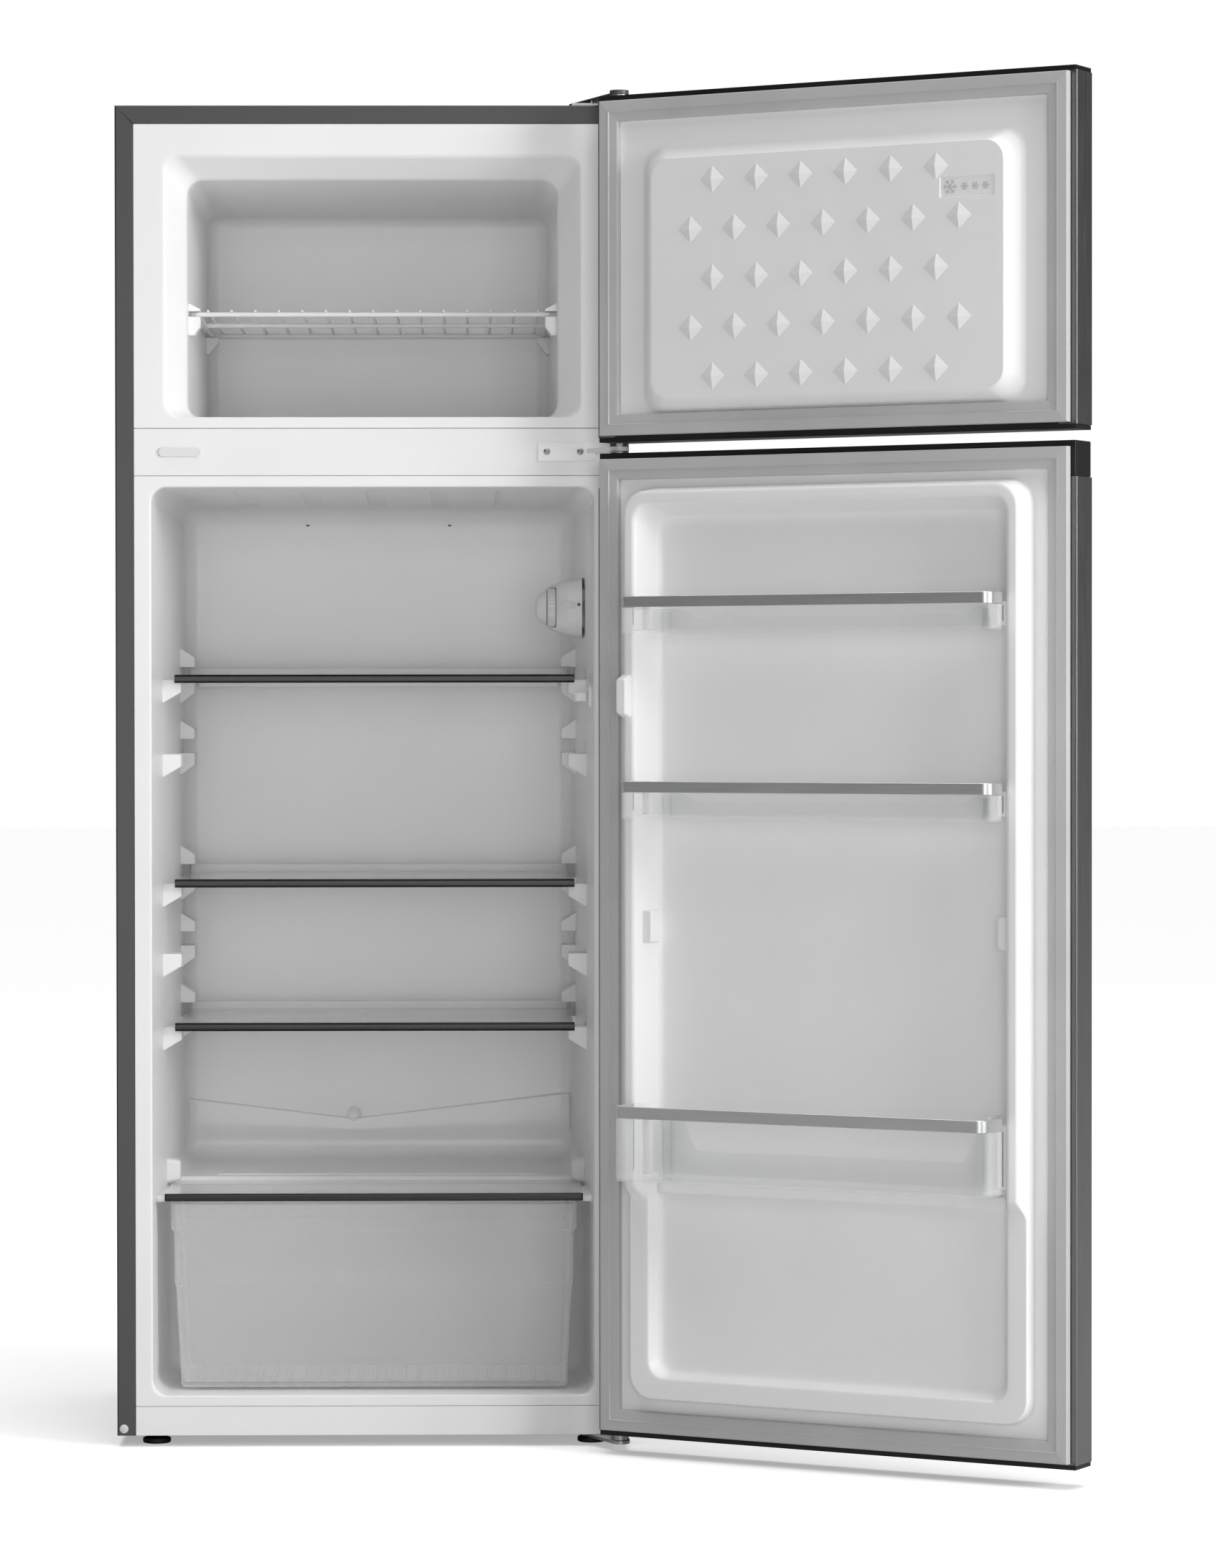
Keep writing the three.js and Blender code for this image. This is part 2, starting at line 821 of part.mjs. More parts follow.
function condenser() {
  const y = cabinetDepth + condenserStandoff + 8;
  const side = half - condenserMargin;
  const high = top - condenserDrop;
  const pitch = (high - condenserBase) / (condenserPasses - 1);
  const bend = pitch / 2;
  const points = [];
  for (let pass = 0; pass < condenserPasses; pass++) {
    const z = condenserBase + pass * pitch;
    const right = pass % 2 === 0 ? 1 : -1;
    points.push([-right * (side - bend), y, z]);
    points.push([right * (side - bend), y, z]);
    if (pass + 1 < condenserPasses) {
      for (let i = 1; i < 5; i++) {
        const angle = (Math.PI * i) / 5;
        points.push([
          right * (side - bend + bend * Math.sin(angle)), y,
          z + bend - bend * Math.cos(angle),
        ]);
      }
    }
  }
  const coil = tube(points, condenserTube, [0, 1, 0], 6);
  const wires = [];
  for (let i = 0; i < condenserWires; i++) {
    const x = -(side - bend - 20) + (2 * (side - bend - 20) * i) / (condenserWires - 1);
    wires.push(block(
      x - 0.9, x + 0.9, y + condenserTube - 0.8, y + condenserTube + 1,
      condenserBase - 12, high + 12,
    ));
  }
  add(cabinet, "condenser", "blackSteel", join([coil, ...wires]));
  for (const [name, z] of [["lower", condenserBase + pitch / 2], ["upper", high - pitch / 2]]) {
    const rail = block(
      -(side - bend), side - bend, cabinetDepth + gap, y - condenserTube - gap, z - 6, z + 6,
    );
    add(cabinet, `condenser_bracket_${name}`, "blackPlastic", rail);
  }
}

function freezerEvaporator() {
  const panel = block(
    -evaporator.half, evaporator.half, evaporator.front, evaporator.front + 2,
    evaporator.low, evaporator.high,
  );
  const rib = (z) =>
    block(
      -(evaporator.half - 15), evaporator.half - 15, evaporator.front + 1,
      evaporator.front + evaporator.thick - gap,
      z - evaporatorSize.rib / 2, z + evaporatorSize.rib / 2,
    );
  const ribs = [0.15, 0.38, 0.62, 0.85].map((share) =>
    rib(evaporator.low + share * (evaporator.high - evaporator.low)),
  );
  add(cabinet, "freezer_evaporator", "aluminium", join([panel, ...ribs]));
}

// ---------------------------------------------------------------- inside the fridge

function shelves() {
  const side = fridge.half - shelfSideGap;
  const names = ["lower", "middle", "upper"];
  shelfTops.forEach((level, i) => {
    const plateBack = shelfFront + trimDepth + gap;
    const sheetGlass = block(
      -side, side, plateBack, shelfRear, level - glass - 1, level - 1,
    );
    add(cabinet, `shelf_glass_${names[i]}`, "glass", sheetGlass);
    const trim = block(-side, side, shelfFront, plateBack - gap, level - trimHeight, level);
    add(cabinet, `shelf_trim_${names[i]}`, "steelTrim", trim);
  });

  const coverSide = fridgeHalfAt(coverRear) - 4;
  const coverGlass = block(
    -coverSide, coverSide, coverFront + coverEdge + gap, coverRear,
    coverTop - glass, coverTop,
  );
  add(cabinet, "crisper_cover", "glass", coverGlass);
  const edge = block(
    -coverSide, coverSide, coverFront, coverFront + coverEdge, coverTop - coverEdge, coverTop,
  );
  add(cabinet, "crisper_cover_trim", "steelTrim", edge);

  const drawerLow = fridge.floor + fridgeFloorDraft + 1;
  const drawerHigh = coverTop - glass - 7.5;
  const drawerHalf = fridgeHalfAt(coverRear) - drawerPlay - drawerLip;
  const drawerFront = coverFront + 4;
  const drawerRear = humpStart - 6;
  const outside = loft([
    roundedRing(drawerFront, -drawerHalf, drawerHalf, drawerLow, drawerHigh, drawerCorner),
    roundedRing(drawerRear, -drawerHalf, drawerHalf, drawerLow, drawerHigh, drawerCorner),
  ]);
  const inside = block(
    -(drawerHalf - drawerWall), drawerHalf - drawerWall,
    drawerFront + drawerWall, drawerRear - drawerWall,
    drawerLow + drawerWall + drawerFloor, drawerHigh + 1,
  );
  const under = block(
    -(drawerHalf - drawerCorner - 2), drawerHalf - drawerCorner - 2,
    drawerFront + drawerCorner, drawerRear - drawerCorner,
    drawerLow - 1, drawerLow + drawerFloor - 2,
  );
  add(cabinet, "crisper_drawer", "clear", outside.subtract(inside).subtract(under));
}

function wireShelf() {
  const side = freezer.half - chamferRun - freezerDraft - 3 - railRadius;
  const level = wireShelfLevel;
  const rails = [wireShelfFront, (wireShelfFront + wireShelfRear) / 2, wireShelfRear].map(
    (y) => bar(y, level, -side - railRadius, side + railRadius, railRadius),
  );
  const ends = [-side, side].map((x) =>
    plug(x, level, wireShelfFront, wireShelfRear, railRadius, 8),
  );
  const wires = [];
  const count = 2 * Math.floor((side - 8) / wirePitch) + 1;
  for (let i = 0; i < count; i++) {
    const x = (i - (count - 1) / 2) * wirePitch;
    wires.push(plug(
      x, level + railRadius + wireRadius - 0.6, wireShelfFront - 3, wireShelfRear + 2,
      wireRadius, 6,
    ));
  }
  add(cabinet, "wire_shelf", "whiteWire", join([...rails, ...ends, ...wires]));
}

// A domed housing on the right wall, with a thumbwheel in a slot across its front.
function thermostatAndLamp() {
  const { front, length } = thermostat;
  const wallHere = fridgeHalfAt(front + length) - 0.6;
  const inner = fridge.half - thermostat.reach;
  const low = fridge.roof - thermostat.low;
  const high = fridge.roof - thermostat.high;
  const ring = (x, inset, drop, corner) =>
    roundedRing(0, front + inset, front + length - inset, low + drop, high - drop, corner)
      .map(([a, , z]) => [x, a, z]);
  const housing = loft([
    ...housingRings.map(([along, ...rest]) => ring(inner + along, ...rest)),
    ring(wallHere, 0, 0, 14),
  ]);
  const middle = (low + high) / 2;
  const { radius, width, shaft, seat } = thumbwheel;
  const wheelY = front + thumbwheel.setBack;
  const wheelLeft = inner + thumbwheel.inset;
  const wheelRight = wheelLeft + width;
  const turned = (x0, x1, size) => bar(wheelY, middle, x0, x1, size, 32);
  const slot = turned(wheelLeft - 2 * gap, wheelRight + 2 * gap, radius + 2 * gap);
  const socket = turned(wheelRight, wheelRight + seat + gap, shaft + 1.5 * gap);
  const lampRoom = block(
    wheelRight + 8.5, wallHere + 6, front + 20, front + length + 2, low + 12, high - 12,
  );
  add(
    cabinet, "thermostat_housing", "white",
    housing.subtract(slot).subtract(socket).subtract(lampRoom),
  );

  const wheel = turned(wheelLeft, wheelRight, radius);
  const spindle = turned(wheelRight - 1, wheelRight + seat, shaft);
  add(cabinet, "thermostat_dial", "greyPlastic", wheel.add(spindle));

  const bulb = new THREE.SphereGeometry(lampRadius, 16, 10);
  bulb.translate(wheelRight + 20.5, front + 46, middle);
  add(cabinet, "lamp", "glass", solid(bulb));
}

function doorSwitch() {
  const { front, size, reach, height } = lightSwitch;
  const right = fridgeHalfAt(front + 26) - 2.4;
  const slider = block(
    right - reach, right, front, front + size, switchLevel - height / 2,
    switchLevel + height / 2,
  );
  add(cabinet, "light_switch", "white", slider);
}

// ---------------------------------------------------------------- doors

// A block given by distances from the door's hinge edge and above its inner face.
function doorBlock(u0, u1, n0, n1, z0, z1) {
  return block(doorEdge - u1, doorEdge - u0, doorBack + n0, doorBack + n1, z0, z1);
}

function doorRing(n, u0, u1, z0, z1, radius) {
  return roundedRing(doorBack + n, doorEdge - u1, doorEdge - u0, z0, z1, radius);
}

function doorSkin(group, name, low, high) {
  const outside = doorBlock(0, doorWidth, -doorThickness, 0, low.z, high.z);
  const hollow = doorBlock(
    sheet, doorWidth - sheet, sheet - doorThickness, -sheet, low.z - 1, high.z + 1,
  );
  const back = doorBlock(
    returnFlange, doorWidth - returnFlange, -sheet - 1, 1, low.z - 1, high.z + 1,
  );
  const notches = [
    [low.z - 1, low.lip + gap],
    [high.lip - gap, high.z + 1],
  ].map(([z0, z1]) => doorBlock(sheet, doorWidth - sheet, -sheet - 4 - gap, 1, z0, z1));
  const skin = notches.reduce(
    (body, notch) => body.subtract(notch),
    outside.subtract(hollow).subtract(back),
  );
  add(group, `${name}_skin`, "darkSteel", skin);
}

// A moulded end cap: `z` is the door's end, `seam` where the steel begins.
function doorCap(group, name, z, seam, lip, grip) {
  const low = Math.min(z, seam);
  const high = Math.max(z, seam);
  const slab = doorBlock(
    capInset, doorWidth - capInset, capInset - doorThickness, 0, low, high,
  );
  const lipBlock = doorBlock(
    sheet + gap, doorWidth - sheet - gap, -4, 0, Math.min(lip, high), Math.max(lip, low),
  );
  const inward = z > seam ? -1 : 1;
  const end = z + inward * bushDepth;
  const boss = cylinder(0, 0, Math.min(z, end), Math.max(z, end), bushRadius, 24);
  const bore = cylinder(
    0, 0, Math.min(z, end) - (inward > 0 ? 1 : -2), Math.max(z, end) + (inward > 0 ? -2 : 1),
    pinRadius + pinPlay, 20,
  );
  let cap = join([slab, lipBlock, boss]).subtract(bore);
  if (grip) {
    const pocket = doorBlock(
      gripMargin, doorWidth - gripMargin, -doorThickness - 1, gripDepth - doorThickness,
      low + 8, high + 1,
    );
    cap = cap.subtract(pocket);
  }
  add(group, name, "blackPlastic", cap);
}

function doorFoam(group, name, low, high, raised) {
  const inset = sheet + gap;
  const slab = doorBlock(
    inset, doorWidth - inset, inset - doorThickness, -5, low.z + gap, high.z - gap,
  );
  const core = doorBlock(
    returnFlange + gap, doorWidth - returnFlange - gap, -6, 0,
    low.lip + 1, high.lip - 1,
  );
  const bushes = [low.z, high.z].map((z) =>
    cylinder(0, 0, z - bushDepth - 1, z + bushDepth + 1, bushRadius + gap, 24),
  );
  const foam = bushes.reduce((body, bush) => body.subtract(bush), slab.add(core).add(raised));
  add(group, `${name}_foam`, "foam", foam);
}

function doorGasket(group, name, z0, z1) {
  const ring = (margin, width, height) => {
    const start = gap + doorLinerWall + gap;
    const outside = doorBlock(margin, doorWidth - margin, start, height,
      z0 + margin, z1 - margin);
    const inside = doorBlock(
      margin + width, doorWidth - margin - width, start - 1, height + 1,
      z0 + margin + width, z1 - margin - width,
    );
    return outside.subtract(inside);
  };
  const bead = ring(gasketMargin, gasketBead, gasketProud);
  const fin = ring(gasketMargin + gasketBead - 0.5, gasketFin, gasketFinHeight);
  add(group, `${name}_gasket`, "gasket", bead.add(fin));
}

function linerPlate(z0, z1) {
  return doorBlock(
    doorLinerInset, doorWidth - doorLinerInset, gap, gap + doorLinerWall,
    z0 + doorLinerInset, z1 - doorLinerInset,
  );
}

function freezerDoor() {
  const group = new THREE.Group();
  const { low: z0, high: z1 } = upperDoor;
  const low = { z: z0 + slimCap + gap, lip: z0 + capLip };
  const high = { z: z1 - slimCap - gap, lip: z1 - capLip };
  doorSkin(group, "freezer_door", low, high);
  doorCap(group, "freezer_door_top_cap", z1, z1 - slimCap, z1 - capLip, false);
  doorCap(group, "freezer_door_bottom_cap", z0, z0 + slimCap, z0 + capLip, false);
  doorGasket(group, "freezer_door", z0, z1);

  const raised = (grow, from, to) => {
    const ring = (n, step) => doorRing(
      n, panel.inset + step - grow, doorWidth - panel.inset - step + grow,
      z0 + panel.foot + step - grow, z1 - panel.head - step + grow, panel.corner + grow,
    );
    return loft([ring(from, 0), ring(gap, 0), ring(to, panel.taper)]);
  };
  const inner = raised(-doorLinerWall, -1, panel.height - doorLinerWall);
  const middle = (doorEdge + doorEdge - doorWidth) / 2;
  const centre = (z0 + panel.foot + z1 - panel.head) / 2;
  const rows = [-2, -1, 0, 1, 2];
  const diamonds = rows.flatMap((row) => {
    const count = row % 2 === 0 ? 6 : 7;
    return Array.from({ length: count }, (_, i) => {
      const pyramid = new THREE.ConeGeometry(panel.diamond, panel.rise + 1, 4);
      pyramid.translate(
        middle + (i - (count - 1) / 2) * panel.pitch,
        doorBack + panel.height + (panel.rise - 1) / 2,
        centre + row * panel.pitch,
      );
      return solid(pyramid);
    });
  });
  const liner = join([linerPlate(z0, z1), raised(0, gap, panel.height), ...diamonds])
    .subtract(inner);
  add(group, "freezer_door_liner", "white", liner);
  doorFoam(group, "freezer_door", low, high,
    raised(-doorLinerWall - gap, -3, panel.height - doorLinerWall - gap));
  return group;
}

function fridgeDoor() {
  const group = new THREE.Group();
  const { low: z0, high: z1 } = lowerDoor;
  const low = { z: z0 + slimCap + gap, lip: z0 + capLip };
  const high = { z: z1 - gripCap - gap, lip: z1 - gripCap - gap };
  doorSkin(group, "fridge_door", low, high);
  doorCap(group, "fridge_door_top_cap", z1, z1 - gripCap, z1 - gripCap, true);
  doorCap(group, "fridge_door_bottom_cap", z0, z0 + slimCap, z0 + capLip, false);
  doorGasket(group, "fridge_door", z0, z1);

  const mass = (grow, from, height) => {
    const ring = (n, step) => doorRing(
      n, dike.foot + step - grow, doorWidth - dike.foot - step + grow,
      z0 + dike.bottom + step - grow, z1 - dike.top - step + grow, dike.corner,
    );
    return loft([ring(from, 0), ring(gap, 0), ring(height, dike.lean)]);
  };
  const rim = dike.foot + dike.lean + dike.crest;
  const sunk = (grow, floor) => {
    const ring = (n, step) => doorRing(
      n, rim + step - grow, doorWidth - rim - step + grow,
      z0 + dike.bottom + dike.lean + dike.crest + step - grow,
      z1 - dike.top - dike.lean - dike.crest - step + grow, dike.corner,
    );
    return loft([ring(floor, dike.fall), ring(dike.height, 0), ring(dike.height + 9, 0)]);
  };
  const lowered = (shape, step) => shape.subtract(doorBlock(
    0, doorWidth, dike.lowHeight - step, dike.height + 20, z0, z0 + dike.stepAt + step,
  ));
  const hollow = lowered(
    mass(-doorLinerWall, -1, dike.height - doorLinerWall)
      .subtract(sunk(doorLinerWall, dike.floor - doorLinerWall)),
    doorLinerWall,
  );
  const recess = {
    low: z0 + dike.bottom + dike.lean + dike.crest + dike.fall,
    high: z1 - dike.top - dike.lean - dike.crest - dike.fall,
  };
  const binLows = spread(recess.low, recess.high, binSpaces);
  const bosses = binLows.flatMap((z, i) =>
    [0, 1].map((side) => {
      const u0 = side ? doorWidth - rim - 4 - bossWidth : rim + 4;
      return doorBlock(
        u0, u0 + bossWidth, dike.floor - 1, dike.floor + bossHeight,
        z + 4, z + binHeights[i] - 8,
      );
    }),
  );
  const pusher = doorBlock(
    dike.foot + 1, dike.foot + 13, dike.height - 8, dike.height + pusherHeight,
    switchLevel - 20, switchLevel + 20,
  );
  const border = lowered(mass(0, gap, dike.height).subtract(sunk(0, dike.floor)), 0);
  const solidLiner = linerPlate(z0, z1).subtract(sunk(0, dike.floor)).add(border);
  const liner = join([solidLiner, ...bosses, pusher]).subtract(hollow);
  add(group, "fridge_door_liner", "white", liner);

  const filler = lowered(
    mass(-doorLinerWall - gap, -3, dike.height - doorLinerWall - gap)
      .subtract(sunk(doorLinerWall + gap, dike.floor - doorLinerWall - gap)),
    doorLinerWall + gap,
  );
  doorFoam(group, "fridge_door", low, high, filler);
  bins(group, binLows, rim);
  return group;
}

function bins(group, binLows, rim) {
  const names = ["lower", "middle", "upper"];
  const narrow = rim + dike.fall + 3.5;
  binLows.forEach((z, i) => {
    const front = binFronts[i];
    const high = z + binHeights[i];
    const shape = (inset, low, to) => {
      const back = doorBlock(
        narrow + inset, doorWidth - narrow - inset, binBack + inset,
        dike.height + 4 + inset, low, to,
      );
      const fore = doorBlock(
        rim + 2 + inset, doorWidth - rim - 2 - inset, dike.height + 3 + inset,
        front - inset, low, to,
      );
      return back.add(fore);
    };
    const tray = shape(0, z, high).subtract(shape(binWall, z + binWall, high + 1));
    const notch = doorBlock(
      rim + 1, doorWidth - rim - 1, front - 1.2, front + 1,
      high - binTrims[i] - gap, high + 1,
    );
    add(group, `bin_${names[i]}`, "clear", tray.subtract(notch));
    const strip = doorBlock(
      rim + 2, doorWidth - rim - 2, front - 1.2 + gap, front + 0.6, high - binTrims[i], high,
    );
    add(group, `bin_trim_${names[i]}`, "steelTrim", strip);
  });
}

// ---------------------------------------------------------------- assembly

cabinetShell();
rearPanel();
cabinetFoam();
freezerLiner();
fridgeLiner();
frontTrims();
topHinge();
midHinge();
bottomHinge();
feet();
machine();
condenser();
freezerEvaporator();
shelves();
wireShelf();
thermostatAndLamp();
doorSwitch();

for (const door of [freezerDoor(), fridgeDoor()]) {
  door.position.set(pivotX, -pivotForward, 0);
  door.rotation.z = openAngle;
  cabinet.add(door);
}

const refrigerator = new THREE.Group();
refrigerator.add(cabinet);
refrigerator.updateMatrixWorld(true);
const extent = new THREE.Box3().setFromObject(refrigerator, true);
const middle = extent.getCenter(new THREE.Vector3());
cabinet.position.set(-middle.x, -middle.y, -extent.min.z);

export default refrigerator;
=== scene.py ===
"""Looks of the top freezer refrigerator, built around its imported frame.

Shapes are worked out in millimetres, either in cabinet coordinates (x from the cabinet's
middle, y back from its front face, z up from the floor) or in door coordinates (u from the
hinge edge, n from the door's inner face towards the food, z up from the floor), and are
turned into metres in the frame's axes by `cab` and `door`.
"""

import json
import math

import bmesh
import bpy
import numpy as np
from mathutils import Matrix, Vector


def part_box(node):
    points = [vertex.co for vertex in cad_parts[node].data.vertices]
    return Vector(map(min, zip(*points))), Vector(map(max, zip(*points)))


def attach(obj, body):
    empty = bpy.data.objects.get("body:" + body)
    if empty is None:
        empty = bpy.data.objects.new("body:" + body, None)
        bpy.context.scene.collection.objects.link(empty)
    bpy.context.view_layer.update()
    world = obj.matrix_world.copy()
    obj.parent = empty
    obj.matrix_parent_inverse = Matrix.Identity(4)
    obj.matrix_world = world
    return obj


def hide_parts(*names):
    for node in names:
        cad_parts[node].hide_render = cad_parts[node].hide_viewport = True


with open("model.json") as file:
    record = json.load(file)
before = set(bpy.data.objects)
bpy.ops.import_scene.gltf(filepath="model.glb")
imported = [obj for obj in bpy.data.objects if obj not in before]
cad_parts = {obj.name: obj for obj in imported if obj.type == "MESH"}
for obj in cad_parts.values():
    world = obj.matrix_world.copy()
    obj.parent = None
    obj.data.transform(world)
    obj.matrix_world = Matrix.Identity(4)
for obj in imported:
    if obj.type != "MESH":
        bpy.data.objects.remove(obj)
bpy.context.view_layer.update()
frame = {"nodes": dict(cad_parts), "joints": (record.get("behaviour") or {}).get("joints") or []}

MM = 0.001

# ------------------------------------------------------------------ places from the frame

shell_low, shell_high = (np.array(corner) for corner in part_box("outer_shell"))
middle_x = (shell_low[0] + shell_high[0]) / 2
front_y = shell_low[1]
HALF = (shell_high[0] - shell_low[0]) / 2 / MM
DEPTH = (shell_high[1] - shell_low[1]) / MM
BASE = shell_low[2] / MM
TOP = shell_high[2] / MM

hinge = next(j for j in frame["joints"] if j["name"] == "fridge_door_hinge")
pivot = np.array(hinge["pos_m"][:2])
OPEN = math.radians(-hinge["range_deg"][0])
DOOR_WIDTH = 2 * HALF
DOOR_GAP = 12
DOOR_THICK = 40
hinge_inset = (shell_high[0] - pivot[0]) / MM
hinge_ahead = (front_y - pivot[1]) / MM


def level(node, top=True):
    """Height of a CAD node's top or bottom, in millimetres."""
    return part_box(node)[1 if top else 0][2] / MM


def extent(node):
    """A CAD node's low and high corner, in cabinet millimetres."""
    origin = np.array([middle_x, front_y, 0])
    return [(np.array(corner) - origin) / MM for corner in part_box(node)]


RAIL_TOP = level("freezer_liner", top=False) - 0.3
RAIL_BOTTOM = level("fridge_liner") + 0.3
KICK_TOP = level("kick_panel") + 0.3
UPPER = (level("freezer_door_bottom_cap", top=False), level("freezer_door_top_cap"))
LOWER = (level("fridge_door_bottom_cap", top=False), level("fridge_door_top_cap"))


def cab(x, y, z):
    """Cabinet millimetres to metres in the frame."""
    x, y, z = np.broadcast_arrays(x, y, z)
    return np.stack([middle_x + x * MM, front_y + y * MM, z * MM], -1)


def cab_up(x, y, z):
    """Outline in x and y, height along z."""
    return cab(x, y, z)


def door(u, n, z):
    """Door millimetres to metres: the closed door turned about its pivot by the open angle."""
    u, n, z = np.broadcast_arrays(u, n, z)
    x = (hinge_inset - u) * MM
    y = (hinge_ahead - DOOR_GAP + n) * MM
    c, s = math.cos(OPEN), math.sin(OPEN)
    return np.stack([pivot[0] + c * x - s * y, pivot[1] + s * x + c * y, z * MM], -1)


# ------------------------------------------------------------------ surfaces

def sheet(points, wrap=False):
    """Quads over an (m, n, 3) grid of points; wrap joins the last column to the first."""
    m, n = points.shape[:2]
    index = np.arange(m * n).reshape(m, n)
    if wrap:
        index = np.concatenate([index, index[:, :1]], 1)
    quads = np.stack(
        [index[:-1, :-1], index[:-1, 1:], index[1:, 1:], index[1:, :-1]], -1,
    ).reshape(-1, 4)
    return points.reshape(-1, 3), [quads]


def stack(rings):
    """A closed body over (m, n, 3) rings, with flat ends, turned so that it faces out."""
    m, n = rings.shape[:2]
    points, faces = sheet(rings, wrap=True)
    ends = np.arange(m * n).reshape(m, n)
    return outward(points, faces + [ends[:1, ::-1], ends[-1:, :]])


def outward(points, faces):
    """Turns a closed body's faces round if the signed volume they hold is negative."""
    centre = points.mean(0)
    volume = 0.0
    for block in faces:
        corners = points[block] - centre
        for k in range(1, block.shape[1] - 1):
            volume += np.einsum(
                "ij,ij->", corners[:, 0], np.cross(corners[:, k], corners[:, k + 1]),
            )
    return points, faces if volume > 0 else [block[:, ::-1] for block in faces]


def gathered(parts):
    """Several (points, faces) bodies as one."""
    shift = 0
    all_points, all_faces = [], []
    for points, faces in parts:
        all_points.append(points)
        all_faces += [block + shift for block in faces]
        shift += len(points)
    return np.concatenate(all_points), all_faces


def piece(name, body, look, shape, replaces=(), sharp=30, thick=0):
    """A mesh object from (points, faces), riding a CAD body, with its finish: shaded smooth
    but for edges over `sharp` degrees, and given a wall of `thick` millimetres if it is an
    open sheet."""
    points, faces = shape
    mesh = bpy.data.meshes.new(name)
    loops = np.concatenate([block.reshape(-1) for block in faces]).astype(np.int32)
    sizes = np.concatenate([np.full(len(block), block.shape[1]) for block in faces])
    mesh.vertices.add(len(points))
    mesh.vertices.foreach_set("co", np.ascontiguousarray(points, np.float32).reshape(-1))
    mesh.loops.add(len(loops))
    mesh.loops.foreach_set("vertex_index", loops)
    mesh.polygons.add(len(sizes))
    starts = np.concatenate([[0], np.cumsum(sizes)[:-1]]).astype(np.int32)
    mesh.polygons.foreach_set("loop_start", starts)
    mesh.update(calc_edges=True)
    mesh.validate()
    mesh.shade_smooth()
    mesh.set_sharp_from_angle(angle=math.radians(sharp))
    mesh.materials.append(look)
    made = bpy.data.objects.new(name, mesh)
    bpy.context.collection.objects.link(made)
    if thick:
        wall = made.modifiers.new("wall", "SOLIDIFY")
        wall.thickness = thick * MM
        wall.offset = -1
    evened(made)
    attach(made, body)
    if replaces:
        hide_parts(*replaces)
    return made


def evened(made):
    """Evens the shading of an object's flat faces."""
    even = made.modifiers.new("even", "WEIGHTED_NORMAL")
    even.keep_sharp = True


def rounded_over(made, width, segments):
    """Rounds an object's sharp edges and evens the shading of its flat faces."""
    edge = made.modifiers.new("edge", "BEVEL")
    edge.width = width * MM
    edge.segments = segments
    edge.limit_method = "ANGLE"
    edge.angle_limit = math.radians(40)
    edge.use_clamp_overlap = True
    evened(made)


def arc(start, end, steps):
    """Angles from start to end degrees, in radians."""
    return np.radians(np.linspace(start, end, steps + 1))


def rounded(a0, a1, b0, b1, radius, steps=6, levels=()):
    """A rounded rectangle's outline: four quarter circles joined by straight runs, the two
    upright ones with extra points at `levels`. Returns the points' two coordinates,
    anticlockwise."""
    radius = max(radius, 1e-3)
    centres = [(a1, b0, -90, 1, -1), (a1, b1, 0, 1, 1), (a0, b1, 90, -1, 1), (a0, b0, 180, -1, -1)]
    a, b = [], []
    for ca, cb, start, sa, sb in centres:
        angle = arc(start, start + 90, steps)
        a.append(ca - sa * radius + radius * np.cos(angle))
        b.append(cb - sb * radius + radius * np.sin(angle))
    for k, run in ((0, np.array(levels)), (2, np.array(levels)[::-1])):
        a[k] = np.concatenate([a[k], np.full(len(run), a[k][-1])])
        b[k] = np.concatenate([b[k], run])
    return np.concatenate(a), np.concatenate(b)


def slab(place, a, b, c, radius=0.8, edge=0.6):
    """A block with rounded upright corners and softened rims: outline in the first two
    ranges, height in the third."""
    inset = edge * (1 - np.cos(arc(0, 90, 3)))[::-1]
    rise = edge * np.sin(arc(0, 90, 3))[::-1]
    heights = np.concatenate([c[0] + edge - rise, (c[1] - edge + rise)[::-1]])
    insets = np.concatenate([inset, inset[::-1]])
    rings = []
    for height, step in zip(heights, insets):
        p, q = rounded(a[0] + step, a[1] - step, b[0] + step, b[1] - step,
                       max(radius - step, 0.05), 4)
        rings.append(place(p, q, np.full_like(p, height)))
    return stack(np.array(rings))


def rod(place, start, end, radius, sides=12, tip=0.35):
    """A round bar between two points, its ends turned in by `tip` of the radius."""
    start, end = np.array(start, float), np.array(end, float)
    along = (end - start) / np.linalg.norm(end - start)
    side = np.cross(along, [0, 0, 1] if abs(along[2]) < 0.9 else [1, 0, 0])
    side /= np.linalg.norm(side)
    up = np.cross(along, side)
    t = radius * tip
    stations = np.array([(0, radius - t), (t * 0.3, radius - t * 0.3), (t, radius)])
    length = np.linalg.norm(end - start)
    where = np.concatenate([stations[:, 0], length - stations[::-1, 0]])
    radii = np.concatenate([stations[:, 1], stations[::-1, 1]])
    angle = np.linspace(0, 2 * np.pi, sides, endpoint=False)
    circle = np.cos(angle)[:, None] * side + np.sin(angle)[:, None] * up
    rings = start + where[:, None, None] * along + radii[:, None, None] * circle[None]
    return stack(place(rings[..., 0], rings[..., 1], rings[..., 2]))


